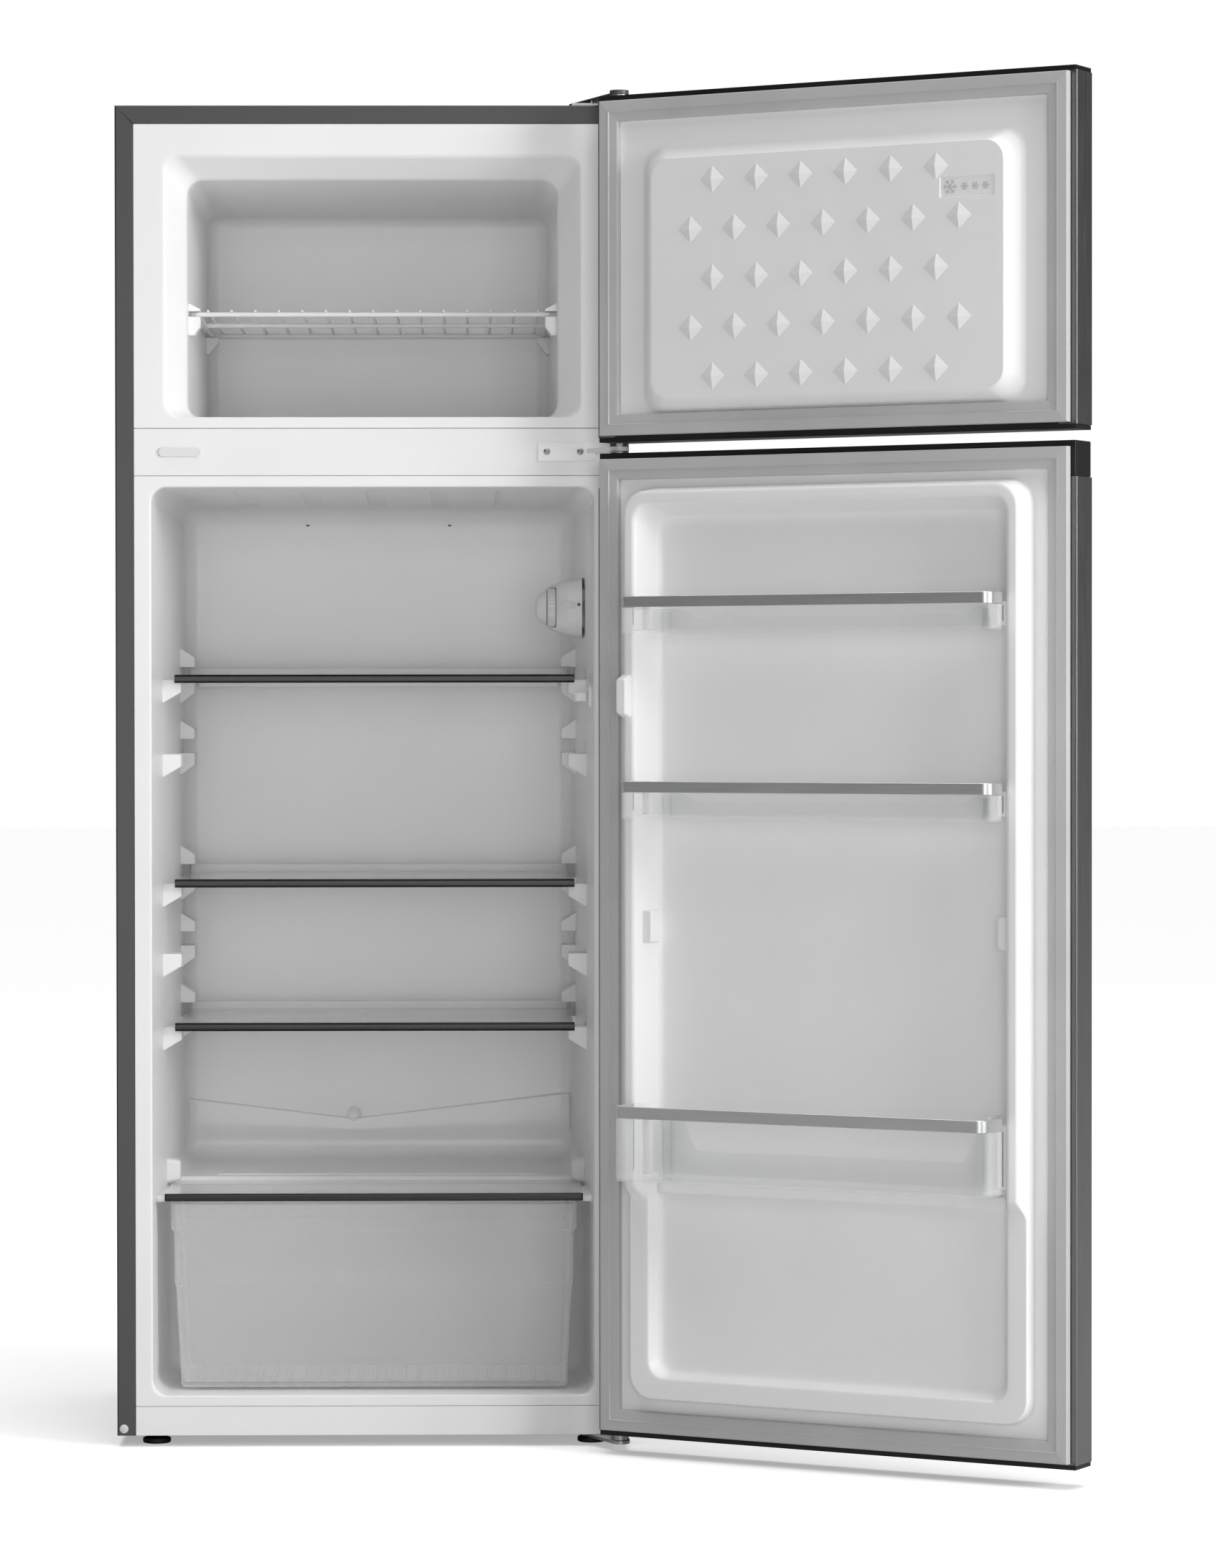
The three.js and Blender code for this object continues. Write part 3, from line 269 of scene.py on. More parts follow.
def turned(place, centre, profile, axis=2, sides=40, flutes=None):
    """A profile of (radius, height) turned about an axis through `centre`. Flutes (count,
    depth) cut that many waves, that share of the radius deep, into it."""
    profile = np.array(profile, float)
    angle = np.linspace(0, 2 * np.pi, sides, endpoint=False)
    wave = 1 - (flutes[1] * (0.5 - 0.5 * np.cos(flutes[0] * angle)) if flutes else 0)
    ring = profile[:, :1] * np.stack([wave * np.cos(angle), wave * np.sin(angle)])[:, None]
    axes = [None, None, None]
    others = [k for k in range(3) if k != axis]
    axes[others[0]] = centre[others[0]] + ring[0]
    axes[others[1]] = centre[others[1]] + ring[1]
    axes[axis] = np.broadcast_to(centre[axis] + profile[:, 1:], ring[0].shape)
    return stack(place(*axes))


def smooth(t):
    """Rises from 0 to 1 with level ends."""
    t = np.clip(t, 0, 1)
    return t * t * (3 - 2 * t)


def plateau(v, low, high, soft):
    """1 between low and high, falling to 0 over `soft` outside them."""
    return smooth((v - low) / soft + 1) * smooth((high - v) / soft + 1)


def facing(shape, toward):
    """An open sheet, its faces turned so that their summed area points `toward`."""
    points, faces = shape
    total = np.zeros(3)
    for block in faces:
        corners = points[block]
        for k in range(1, block.shape[1] - 1):
            total += np.cross(
                corners[:, k] - corners[:, 0], corners[:, k + 1] - corners[:, 0],
            ).sum(0)
    if total @ np.array(toward, float) >= 0:
        return points, faces
    return points, [block[:, ::-1] for block in faces]


def eased(keys, reach, steps=5):
    """A run through the keys, each inner one rounded by a quadratic curve that leaves the
    straight run `reach` before it and joins the next one as far after it."""
    keys = np.array(keys, float)
    reach = np.broadcast_to(reach, len(keys))
    t = np.linspace(0, 1, steps + 1)[:, None]
    run = [keys[:1]]
    for k in range(1, len(keys) - 1):
        if not reach[k]:
            run.append(keys[k:k + 1])
            continue
        back, ahead = keys[k - 1] - keys[k], keys[k + 1] - keys[k]
        share = [min(0.49, reach[k] / max(np.abs(v).max(), 1e-6)) for v in (back, ahead)]
        start, end = keys[k] + back * share[0], keys[k] + ahead * share[1]
        run.append((1 - t) ** 2 * start + 2 * t * (1 - t) * keys[k] + t ** 2 * end)
    run.append(keys[-1:])
    return np.concatenate(run)


def divided(path, step):
    """A run of points with its long stretches cut into pieces of at most `step`."""
    cut = []
    for start, end in zip(path[:-1], path[1:]):
        pieces = max(1, math.ceil(np.linalg.norm(end - start) / step))
        cut.append(start + np.linspace(0, 1, pieces, endpoint=False)[:, None] * (end - start))
    return np.concatenate(cut + [path[-1:]])


def normals(path):
    """Unit normals of a run of plane points, a quarter turn from its direction."""
    along = np.gradient(path, axis=0)
    along /= np.linalg.norm(along, axis=1, keepdims=True)
    return np.stack([-along[:, 1], along[:, 0]], -1)


def ringed(place, keys, reach, steps=5, corner=6, levels=()):
    """A grid of rounded rectangles along the eased keys (height, a0, a1, b0, b1, radius)."""
    rings = []
    for height, a0, a1, b0, b1, radius in eased(keys, reach, steps):
        a, b = rounded(a0, a1, b0, b1, radius, corner, levels)
        rings.append(place(a, b, height))
    return np.array(rings)


def bowl(rings, toward):
    """An open sheet over rings, closed by a flat face over the last one."""
    points, faces = sheet(rings, wrap=True)
    m, n = rings.shape[:2]
    return facing((points, faces + [np.arange((m - 1) * n, m * n)[None]]), toward)


def outline(corners, radii, inset=0.0, steps=5):
    """A closed plane outline, anticlockwise, moved in by `inset`, each corner an arc of its
    radius: smaller by the inset where it bulges out, larger where it goes in."""
    corners = np.array(corners, float)
    ahead = np.roll(corners, -1, 0) - corners
    ahead /= np.linalg.norm(ahead, axis=1, keepdims=True)
    inward = np.stack([-ahead[:, 1], ahead[:, 0]], -1)
    before = np.roll(inward, 1, 0)
    corners = corners + inset * (inward + before) / (1 + (inward * before).sum(1))[:, None]
    run = []
    for k, corner in enumerate(corners):
        back, front = -np.roll(ahead, 1, 0)[k], ahead[k]
        turn = before[k, 0] * inward[k, 1] - before[k, 1] * inward[k, 0]
        radius = max(radii[k] - math.copysign(inset, turn), 0.05)
        cosine = np.clip(before[k] @ inward[k], -1, 1)
        reach = radius * math.tan(math.acos(cosine) / 2)
        centre = corner + reach * front + math.copysign(radius, turn) * inward[k]
        start = math.atan2(*(corner + reach * back - centre)[::-1])
        angle = start + math.copysign(1, turn) * np.linspace(0, math.acos(cosine), steps + 1)
        run.append(centre + radius * np.stack([np.cos(angle), np.sin(angle)], -1))
    return np.concatenate(run)


def tray(place, corners, radii, low, high, wall, floor=None, soft=3.0, rim=0.6, scoop=None):
    """An open tray of even wall over an outline: up the outside, over the rounded rim, down
    the inside and across the floor. A scoop, a function of the outline's two coordinates,
    says what share of the height is cut away there."""
    floor = wall if floor is None else floor
    whole = outline(corners, radii)
    ends = np.concatenate([whole, whole[:1]])
    pieces = np.ceil(np.linalg.norm(np.diff(ends, axis=0), axis=1) / 6.0).astype(int)
    pieces = np.maximum(pieces, 1) if scoop else np.ones(len(whole), int)
    start = np.repeat(np.arange(len(whole)), pieces)
    share = np.concatenate([np.arange(count) / count for count in pieces])[:, None]
    turn = arc(0, 90, 4)
    fall = turn[::-1]
    inset = np.concatenate([
        soft * (1 - np.sin(turn)), rim * (1 - np.cos(turn)),
        wall - rim * (1 - np.cos(fall)), wall + soft * (1 - np.sin(fall)),
    ])
    level = np.concatenate([
        low + soft * (1 - np.cos(turn)), high - rim * (1 - np.sin(turn)),
        high - rim * (1 - np.sin(fall)), low + floor + soft * (1 - np.cos(fall)),
    ])
    rings = []
    for step, z in zip(inset, level):
        run = outline(corners, radii, step)
        run = run[start] + share * (np.roll(run, -1, 0)[start] - run[start])
        cut = scoop(run[:, 0], run[:, 1]) if scoop else 0
        rings.append(place(run[:, 0], run[:, 1], z - cut * max(z - low - soft, 0)))
    return stack(np.array(rings))


def ribbon(place, path, thick, low, high, edge=0.3):
    """A strip of even thickness along a plane path, standing from low to high."""
    inner = path + thick * normals(path)
    loop = np.concatenate([path, inner[::-1]])
    middle = np.concatenate([path + thick / 2 * normals(path), inner[::-1]
                             + thick / 2 * normals(inner[::-1])])
    rings = []
    for z, share in ((low, 1), (low + edge, 0), (high - edge, 0), (high, 1)):
        run = loop + (middle - loop) * share * min(1, 2 * edge / thick)
        rings.append(place(run[:, 0], run[:, 1], z))
    return stack(np.array(rings))


def pipe(place, path, radius, sides=10):
    """A round tube along a run of points, its rings turned as little as they can be."""
    path = np.array(path, float)
    along = np.gradient(path, axis=0)
    along /= np.linalg.norm(along, axis=1, keepdims=True)
    side = np.cross(along[0], [0, 0, 1] if abs(along[0, 2]) < 0.9 else [0, 1, 0])
    sides_run = []
    for direction in along:
        side = side - (side @ direction) * direction
        side /= np.linalg.norm(side)
        sides_run.append(side)
    side = np.array(sides_run)[:, None]
    up = np.cross(along[:, None], side)
    angle = np.linspace(0, 2 * np.pi, sides, endpoint=False)[None, :, None]
    rings = path[:, None] + radius * (np.cos(angle) * side + np.sin(angle) * up)
    return stack(place(rings[..., 0], rings[..., 1], rings[..., 2]))


def coated(node, look):
    """Gives a CAD node that stays in sight its own finish."""
    materials = frame["nodes"][node].data.materials
    materials.clear()
    materials.append(look)


def softened(node, look, width, body, segments=2):
    """A merged copy of a CAD node with its sharp edges rounded over, shown in its place."""
    source = frame["nodes"][node]
    mesh = source.data.copy()
    form = bmesh.new()
    form.from_mesh(mesh)
    bmesh.ops.remove_doubles(form, verts=form.verts, dist=1e-5)
    bmesh.ops.dissolve_limit(
        form, angle_limit=math.radians(0.5), verts=form.verts, edges=form.edges,
    )
    form.to_mesh(mesh)
    form.free()
    made = bpy.data.objects.new(node + "_soft", mesh)
    bpy.context.collection.objects.link(made)
    mesh.materials.clear()
    mesh.materials.append(look)
    mesh.shade_smooth()
    mesh.set_sharp_from_angle(angle=math.radians(30))
    rounded_over(made, width, segments)
    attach(made, body)
    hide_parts(node)
    return made


# ------------------------------------------------------------------ finishes

def finish(name, colour, rough, metal=0.0, **sockets):
    """A Principled material with its plain values set on the shader's own sockets."""
    look = bpy.data.materials.new(name)
    look.use_nodes = True
    shader = look.node_tree.nodes["Principled BSDF"]
    shader.inputs["Base Color"].default_value = (*colour, 1)
    shader.inputs["Roughness"].default_value = rough
    shader.inputs["Metallic"].default_value = metal
    for socket, value in sockets.items():
        shader.inputs[socket.replace("_", " ")].default_value = value
    return look, look.node_tree, shader


def pattern(tree, scale, detail=3, stretch=(1, 1, 1), turn=0.0):
    """Noise on Object coordinates, turned about Z and then drawn out along the axes;
    returns its value socket."""
    place = tree.nodes.new("ShaderNodeTexCoord")
    mapping = tree.nodes.new("ShaderNodeMapping")
    mapping.vector_type = "TEXTURE"
    mapping.inputs["Rotation"].default_value = (0, 0, turn)
    mapping.inputs["Scale"].default_value = stretch
    tree.links.new(place.outputs["Object"], mapping.inputs["Vector"])
    texture = tree.nodes.new("ShaderNodeTexNoise")
    texture.inputs["Scale"].default_value = scale
    texture.inputs["Detail"].default_value = detail
    tree.links.new(mapping.outputs["Vector"], texture.inputs["Vector"])
    return texture.outputs["Fac"]


def between(tree, value, low, high):
    """Maps a pattern's middle range to low..high."""
    spread = tree.nodes.new("ShaderNodeMapRange")
    spread.inputs["From Min"].default_value = 0.3
    spread.inputs["From Max"].default_value = 0.7
    spread.inputs["To Min"].default_value = low
    spread.inputs["To Max"].default_value = high
    tree.links.new(value, spread.inputs["Value"])
    return spread.outputs["Result"]


def tinted(tree, shader, value, dark, light):
    """Base colour that runs between two colours with a pattern."""
    mix = tree.nodes.new("ShaderNodeMix")
    mix.data_type = "RGBA"
    mix.inputs["A"].default_value = (*dark, 1)
    mix.inputs["B"].default_value = (*light, 1)
    tree.links.new(between(tree, value, 0, 1), mix.inputs["Factor"])
    tree.links.new(mix.outputs["Result"], shader.inputs["Base Color"])


def bumped(tree, shader, value, strength, distance):
    """Relief of `distance` millimetres from a pattern."""
    bump = tree.nodes.new("ShaderNodeBump")
    bump.inputs["Strength"].default_value = strength
    bump.inputs["Distance"].default_value = distance * MM
    tree.links.new(value, bump.inputs["Height"])
    tree.links.new(bump.outputs["Normal"], shader.inputs["Normal"])


def brushed(name, dark, light, rough, stretch, turn=0.0):
    """Steel with fine parallel scratches: noise drawn out along one direction."""
    look, tree, shader = finish(name, light, rough, 0.9)
    scratch = pattern(tree, 1400, 3, stretch, turn)
    tinted(tree, shader, scratch, dark, light)
    tree.links.new(between(tree, scratch, rough - 0.05, rough + 0.06), shader.inputs["Roughness"])
    bumped(tree, shader, scratch, 0.06, 0.01)
    return look


def moulded(name, dark, light, rough, grain, depth, **sockets):
    """Plastic: a faint uneven tone and a fine grain or orange peel."""
    look, tree, shader = finish(name, light, rough, **sockets)
    tinted(tree, shader, pattern(tree, 9, 2), dark, light)
    bumped(tree, shader, pattern(tree, grain, 2), 0.5, depth)
    return look


def see_through(name, colour, facing, edge, rough):
    """Clear sheet: nearly open face on, closing towards a grazing view as its gloss grows."""
    look, tree, shader = finish(name, colour, rough)
    weight = tree.nodes.new("ShaderNodeLayerWeight")
    weight.inputs["Blend"].default_value = 0.35
    spread = tree.nodes.new("ShaderNodeMapRange")
    spread.inputs["To Min"].default_value = facing
    spread.inputs["To Max"].default_value = edge
    tree.links.new(weight.outputs["Facing"], spread.inputs["Value"])
    tree.links.new(spread.outputs["Result"], shader.inputs["Alpha"])
    bumped(tree, shader, pattern(tree, 30, 1), 0.08, 0.3)
    return look


# directions of the brushing, as how far its noise is drawn out along each axis
UPRIGHT = (1, 1, 100)
LEVEL = (100, 1, 1)
DOOR_TURN = OPEN - math.pi
steel_side = brushed("steel_side", (0.18, 0.182, 0.184), (0.26, 0.262, 0.264), 0.38, UPRIGHT)
strip_steel = brushed(
    "strip_steel", (0.6, 0.605, 0.61), (0.68, 0.685, 0.69), 0.36, LEVEL, DOOR_TURN,
)
trim_steel = brushed("trim_steel", (0.02, 0.02, 0.02), (0.036, 0.036, 0.036), 0.25, LEVEL)
white_liner = moulded(
    "white_liner", (0.88, 0.88, 0.878), (0.905, 0.905, 0.903), 0.32, 220, 0.05,
)
white_plastic = moulded(
    "white_plastic", (0.87, 0.87, 0.865), (0.9, 0.9, 0.895), 0.35, 500, 0.03,
)
white_paint = moulded(
    "white_paint", (0.86, 0.86, 0.86), (0.9, 0.9, 0.9), 0.28, 350, 0.04,
)
black_plastic = moulded(
    "black_plastic", (0.01, 0.01, 0.011), (0.016, 0.016, 0.017), 0.45, 1600, 0.03,
    Specular_IOR_Level=0.3,
)
gasket_vinyl = moulded(
    "gasket_vinyl", (0.5, 0.5, 0.498), (0.55, 0.55, 0.548), 0.5, 700, 0.03,
)
clear_plastic = see_through("clear_plastic", (0.9, 0.91, 0.915), 0.07, 0.5, 0.08)
milky_plastic = see_through("milky_plastic", (0.98, 0.98, 0.98), 0.2, 0.75, 0.12)
shelf_glass = see_through("shelf_glass", (0.84, 0.87, 0.86), 0.06, 0.72, 0.04)
wire_white = moulded("wire_white", (0.82, 0.82, 0.82), (0.87, 0.87, 0.87), 0.28, 600, 0.03)
zinc = moulded("zinc", (0.42, 0.42, 0.41), (0.55, 0.55, 0.54), 0.38, 300, 0.04, Metallic=0.85)
black_steel = moulded("black_steel", (0.01, 0.01, 0.011), (0.02, 0.02, 0.021), 0.35, 90, 0.1)
rear_sheet = moulded(
    "rear_sheet", (0.28, 0.285, 0.29), (0.36, 0.365, 0.37), 0.42, 60, 0.05, Metallic=0.7,
)
copper = moulded("copper", (0.55, 0.24, 0.12), (0.7, 0.34, 0.19), 0.32, 200, 0.03, Metallic=1.0)
foam = moulded("foam", (0.62, 0.5, 0.27), (0.72, 0.6, 0.36), 0.9, 240, 0.8)
steel_flange = brushed(
    "steel_flange", (0.095, 0.095, 0.096), (0.115, 0.115, 0.116), 0.5, UPRIGHT,
)
pale_plastic = moulded(
    "pale_plastic", (0.62, 0.62, 0.62), (0.68, 0.68, 0.68), 0.4, 700, 0.03,
)
# off-white for the plugs and the knob, and painted shade on the housing's oval dimple
plug_white_and_painted_dimple_shade = moulded("plug_white_and_painted_dimple_shade", (0.76, 0.76, 0.76), (0.8, 0.8, 0.8), 0.4, 700, 0.03)
cover_grey = moulded("cover_grey", (0.09, 0.09, 0.092), (0.12, 0.12, 0.122), 0.4, 900, 0.03)
# dark grey that is painted shade along the clear bins' sides seen on edge
painted_bin_edge_shade = moulded("painted_bin_edge_shade", (0.12, 0.12, 0.12), (0.16, 0.16, 0.16), 0.4, 700, 0.02)
# dark grey that is painted shade in small holes, drawn as flat discs
painted_hole_shade = moulded("painted_hole_shade", (0.1, 0.1, 0.1), (0.14, 0.14, 0.14), 0.6, 300, 0.02)
# grey for the frost marks' print, and painted shade in the front seams
print_and_seam_shade_grey = moulded("print_and_seam_shade_grey", (0.52, 0.52, 0.53), (0.58, 0.58, 0.59), 0.5, 300, 0.02)
lamp_glass = see_through("lamp_glass", (0.95, 0.93, 0.85), 0.35, 0.9, 0.15)

# ------------------------------------------------------------------ cabinet wrap and back

FLANGE = 19.5
SEAM = 0.7
LEVELS = [level(f"shelf_trim_{name}") for name in ("lower", "middle", "upper")]
SPARE_SLOTS = (LEVELS[0] + 80, LEVELS[1] + 141)
COVER_TOP = level("crisper_cover")


def lying(x, z, y):
    """Outline in x and z, height along y."""
    return cab(x, y, z)


def shell_run(start, end, starts_mitred, ends_mitred):
    """One side of the steel wrap: a thin folded section (inset from the outside, depth) run
    between two outer corners. Mitred ends are cut back by the section's own inset, and by half
    the seam where the section is on the front."""
    bend = arc(0, 90, 5)
    radius, fold = 1.8, 0.5
    outer = np.concatenate([
        [[0, DEPTH]],
        np.stack([radius - radius * np.cos(bend), radius - radius * np.sin(bend)], -1),
        [[FLANGE - fold, 0], [FLANGE, fold]],
    ])
    section = np.concatenate([outer, [[FLANGE, 1], [1.2, 1], [1, 1.2], [1, DEPTH]]])
    start, end = np.array(start, float), np.array(end, float)
    along = (end - start) / np.linalg.norm(end - start)
    inward = np.array([along[1], -along[0]])
    cut = section[:, 0] + np.where((section[:, 0] > 2.5) & (section[:, 1] < 2), SEAM, 0)
    near = start + inward * section[:, :1] + along * cut[:, None] * starts_mitred
    far = end + inward * section[:, :1] - along * cut[:, None] * ends_mitred
    rings = [cab(p[:, 0], section[:, 1], p[:, 1]) for p in (near, far)]
    return stack(np.array(rings))


corners = [(-HALF, BASE), (-HALF, TOP), (HALF, TOP), (HALF, BASE)]
piece(
    "cabinet_wrap", "cabinet", steel_flange,
    gathered([
        shell_run(corners[0], corners[1], 0, 1),
        shell_run(corners[1], corners[2], 1, 1),
        shell_run(corners[2], corners[3], 1, 0),
    ]),
    replaces=["outer_shell"],
)
# black plates behind the mitred seams at the top corners: their black is painted shade in the gaps
for side, name in ((-1, "left"), (1, "right")):
    plate_x = sorted((side * (HALF - 1.6), side * (HALF - FLANGE + 0.4)))
    piece(
        f"mitre_gap_painted_shade_{name}", "cabinet", black_plastic,
        slab(lying, plate_x, (TOP - FLANGE + 0.4, TOP - 1.6), (1.3, 1.9), 0.3, 0.2),
    )
base_low = level("cabinet_foam", top=False)
piece(
    "base_sheet", "cabinet", black_steel,
    slab(cab_up, (-HALF + 1.4, HALF - 1.4), (6, 232), (base_low - 0.7, base_low - 0.1), 1, 0.1),
)
piece(
    "flange_screw_cap", "cabinet", pale_plastic,
    turned(cab, (-265.4, 0, 19.2),
           [(0, 0.4), (4.7, 0.4), (4.7, -0.5), (4.2, -1.1), (3, -1.5), (0, -1.7)], axis=1),
)

# rear panel: a flat sheet with a raised margin and level swages pressed into it
SWAGE_ROWS = np.linspace(330, 1340, 8)
PRESS = 1.2
panel_low, panel_high = extent("rear_panel")
panel_x = np.linspace(-HALF + 1.6, HALF - 1.6, 60)
panel_z = np.linspace(panel_low[2], panel_high[2], 240)
grid_x, grid_z = np.meshgrid(panel_x, panel_z)
inside = plateau(grid_x, -HALF + 34, HALF - 34, 9)
swage = sum(plateau(grid_z, z - 5, z + 5, 8) for z in SWAGE_ROWS)
press = PRESS * inside * (plateau(grid_z, panel_z[0] + 30, panel_z[-1] - 30, 9) - 0.9 * swage)
piece(
    "rear_panel_pressed", "cabinet", rear_sheet,
    facing(sheet(cab(grid_x, DEPTH - press, grid_z)), (0, 1, 0)),
    replaces=["rear_panel"], thick=0.8,
)

# ------------------------------------------------------------------ freezer compartment

# liner: flange, softened mouth, splayed sides and roof, drafted walls, back
FREEZER_FLOOR = RAIL_TOP + 12
flange = (-HALF + FLANGE + 0.3, HALF - FLANGE - 0.3)
freezer_rings = ringed(lying, [
    (2, *flange, RAIL_TOP + 0.4, TOP - FLANGE - 0.3, 1),
    (0, *flange, RAIL_TOP + 0.4, TOP - FLANGE - 0.3, 1),
    (0, -219.5, 219.5, FREEZER_FLOOR, TOP - 54, 16),
    (30, -197, 197, FREEZER_FLOOR, TOP - 76.5, 16),
    (395, -193, 193, FREEZER_FLOOR, TOP - 83, 16),
    (395, -150, 150, FREEZER_FLOOR + 46, TOP - 124, 12),
], (0, 0.5, 3.5, 4, 16, 0), 6, 8)
piece(
    "freezer_inner", "cabinet", white_liner, bowl(freezer_rings, (0, -1, 0)),
    replaces=["freezer_liner"], thick=1.5, sharp=50,
)


def boss(side, wall, tip, y, z, flare, radius=4, edge=2.0):
    """A moulded block on a side wall, tapering from its foot to a softened tip."""
    foot = (y[0] - flare, y[1] + flare, z[0] - flare, z[1] + flare)
    keys = [(wall, *foot, radius + 1), (tip, *y, *z, radius),
            (tip, y[0] + 6, y[1] - 6, z[0] + min(6, (z[1] - z[0]) / 2 - 1),
             z[1] - min(6, (z[1] - z[0]) / 2 - 1), 1)]
    rings = ringed(lambda a, b, h: cab(side * h, a, b), keys, (0, edge, 0), 4, 4)
    return stack(rings)


def gusset(side, y, corners, radius=1.4, edge=0.9):
    """A moulded block with one outline in (reach, z) carried along y, its corners rounded by
    `radius` and its two ends turned over by `edge`."""
    if sum(a[0] * b[1] - b[0] * a[1] for a, b in zip(corners, corners[1:] + corners[:1])) < 0:
        corners = corners[::-1]
    radii = [radius] * len(corners)
    bend = arc(0, 90, 3)
    rings = []
    for start, toward in ((y[0], 1), (y[1], -1)):
        turned_in = []
        for angle in bend:
            run = outline(corners, radii, edge * (1 - math.sin(angle)), 3)
            depth = start + toward * edge * (1 - math.cos(angle))
            turned_in.append(cab(side * run[:, 0], depth, run[:, 1]))
        rings += turned_in if toward > 0 else turned_in[::-1]
    return stack(np.array(rings))


# brackets: a front pair with a groove for the wire shelf's side rail, and a rear pair under it
WIRE = (level("wire_shelf", top=False) + level("wire_shelf")) / 2 - 1.2
GROOVE = 2.9
FRONT_BRACKET, REAR_BRACKET = (48, 72), (358, 382)
FRONT_REACH, REAR_REACH = 184.4, 180.2
brackets = []
for side in (-1, 1):
    brackets += [
        gusset(side, FRONT_BRACKET, [
            (200, WIRE + GROOVE), (FRONT_REACH, WIRE + GROOVE), (FRONT_REACH, WIRE + 5),
            (200, WIRE + 13),
        ], 0.7, 0.6),
        gusset(side, FRONT_BRACKET, [
            (200, WIRE - GROOVE), (200, WIRE - 23), (191, WIRE - 23),
            (FRONT_REACH, WIRE - 13.5), (FRONT_REACH, WIRE - GROOVE),
        ]),
        gusset(side, REAR_BRACKET, [
            (196, WIRE - GROOVE), (196, WIRE - 22), (190.5, WIRE - 22), (REAR_REACH, WIRE - 9),
            (REAR_REACH, WIRE - GROOVE),
        ]),
    ]
piece("freezer_brackets", "cabinet", white_liner, gathered(brackets))

# ------------------------------------------------------------------ fridge compartment

# liner: rim, channel (floor, hump, ledge, back, ceiling) and two side walls
MOUTH = 234.5
DRAFT = 14.5 / 395
WALL_FILLET = 16
SILL, CEILING = KICK_TOP + 11.5, RAIL_BOTTOM - 12.2
RIM_DEPTH = 3.2
HUMP = 196
LEDGE = COVER_TOP + 4
BACK = 395
GUTTER = ((-220, -29, 218), (343, 319, 349))
GUTTER_ROW = 331.0
DRAIN = (-29, 324)
SLOTS = np.arange(-2, 3) * 70.5


def half_width(y):
    """Half the fridge compartment's width at a depth."""
    return MOUTH - DRAFT * y


rim_rings = ringed(lying, [
    (2, *flange, KICK_TOP + 0.3, RAIL_BOTTOM - 0.3, 1),
    (0, *flange, KICK_TOP + 0.3, RAIL_BOTTOM - 0.3, 1),
    (0, -MOUTH, MOUTH, SILL, CEILING, WALL_FILLET),
    (RIM_DEPTH + 1, -MOUTH, MOUTH, SILL, CEILING, WALL_FILLET),
], (0, 0.5, 3, 0), 6, 8)
profile = divided(eased([
    (RIM_DEPTH, SILL), (HUMP, SILL + 1.5), (HUMP + 0.3, LEDGE), (BACK - 5, LEDGE + 4),
    (BACK - 1, 305), (BACK, GUTTER_ROW - 1.2), (BACK, GUTTER_ROW), (BACK, CEILING - 8),
    (320, CEILING - 6.5), (316, CEILING - 6.4), (63, CEILING - 1.3), (59, CEILING - 1.2),
    (RIM_DEPTH, CEILING),
], (0, 24, 4, 26, 0, 0, 0, 24, 0, 0, 0, 0, 0), 8), 9.0)
turn = arc(90, 0, 8)
fillet_in = WALL_FILLET * (1 - np.sin(turn))
fillet_off = WALL_FILLET * (1 - np.cos(turn))
slot_edges = (SLOTS[:, None] + np.array([-9.2, -7.6, 7.6, 9.2])).ravel()
middle = np.unique(np.round(np.concatenate([
    np.linspace(-200, 200, 41), slot_edges, [GUTTER[0][1]],
]), 2))
off = np.concatenate([fillet_off, np.zeros(len(middle)), fillet_off[::-1]])[:, None]
shifted = profile + off[:, :, None] * normals(profile)
run_y, run_z = shifted[..., 0], shifted[..., 1]
wide = half_width(run_y)
run_x = np.concatenate([
    -wide[:9] + fillet_in[:, None],
    np.broadcast_to(middle[:, None], (len(middle), len(profile))),
    wide[-9:] - fillet_in[::-1, None],
])
on_ceiling = (run_z > CEILING - 12) & (run_y < 340)
slot_shape = sum(plateau(run_x, at - 7.6, at + 7.6, 1.6) for at in SLOTS)
run_z = run_z + 1.7 * on_ceiling * slot_shape * plateau(run_y, 63, 316, 4)
on_back = (run_y > BACK - 6) & (run_z > 300) & (run_z < CEILING - 20)
line = np.interp(run_x, *GUTTER)
lifted = np.where(
    run_z <= GUTTER_ROW,
    300 + (run_z - 300) * (line - 300) / (GUTTER_ROW - 300),
    line + (run_z - GUTTER_ROW) * (CEILING - 20 - line) / (CEILING - 20 - GUTTER_ROW),
)
below = smooth((GUTTER_ROW - 0.1 - run_z) / 1.0) * smooth((run_z - 296) / 10)
run_y = run_y - 5 * on_back * below
run_z = np.where(on_back, lifted, run_z)
channel = facing(sheet(cab(run_x, run_y, run_z)), (0, -1, 0))
walls = []
for side, edge in ((-1, shifted[0]), (1, shifted[-1])):
    points = cab(side * half_width(edge[:, 0]), edge[:, 0], edge[:, 1])
    walls.append(facing((points, [np.arange(len(points))[None]]), (-side, 0, 0)))
piece(
    "fridge_inner", "cabinet", white_liner,
    gathered([facing(sheet(rim_rings, wrap=True), (0, -1, 0)), channel, *walls]),
    replaces=["fridge_liner"], thick=1.4, sharp=50,
)

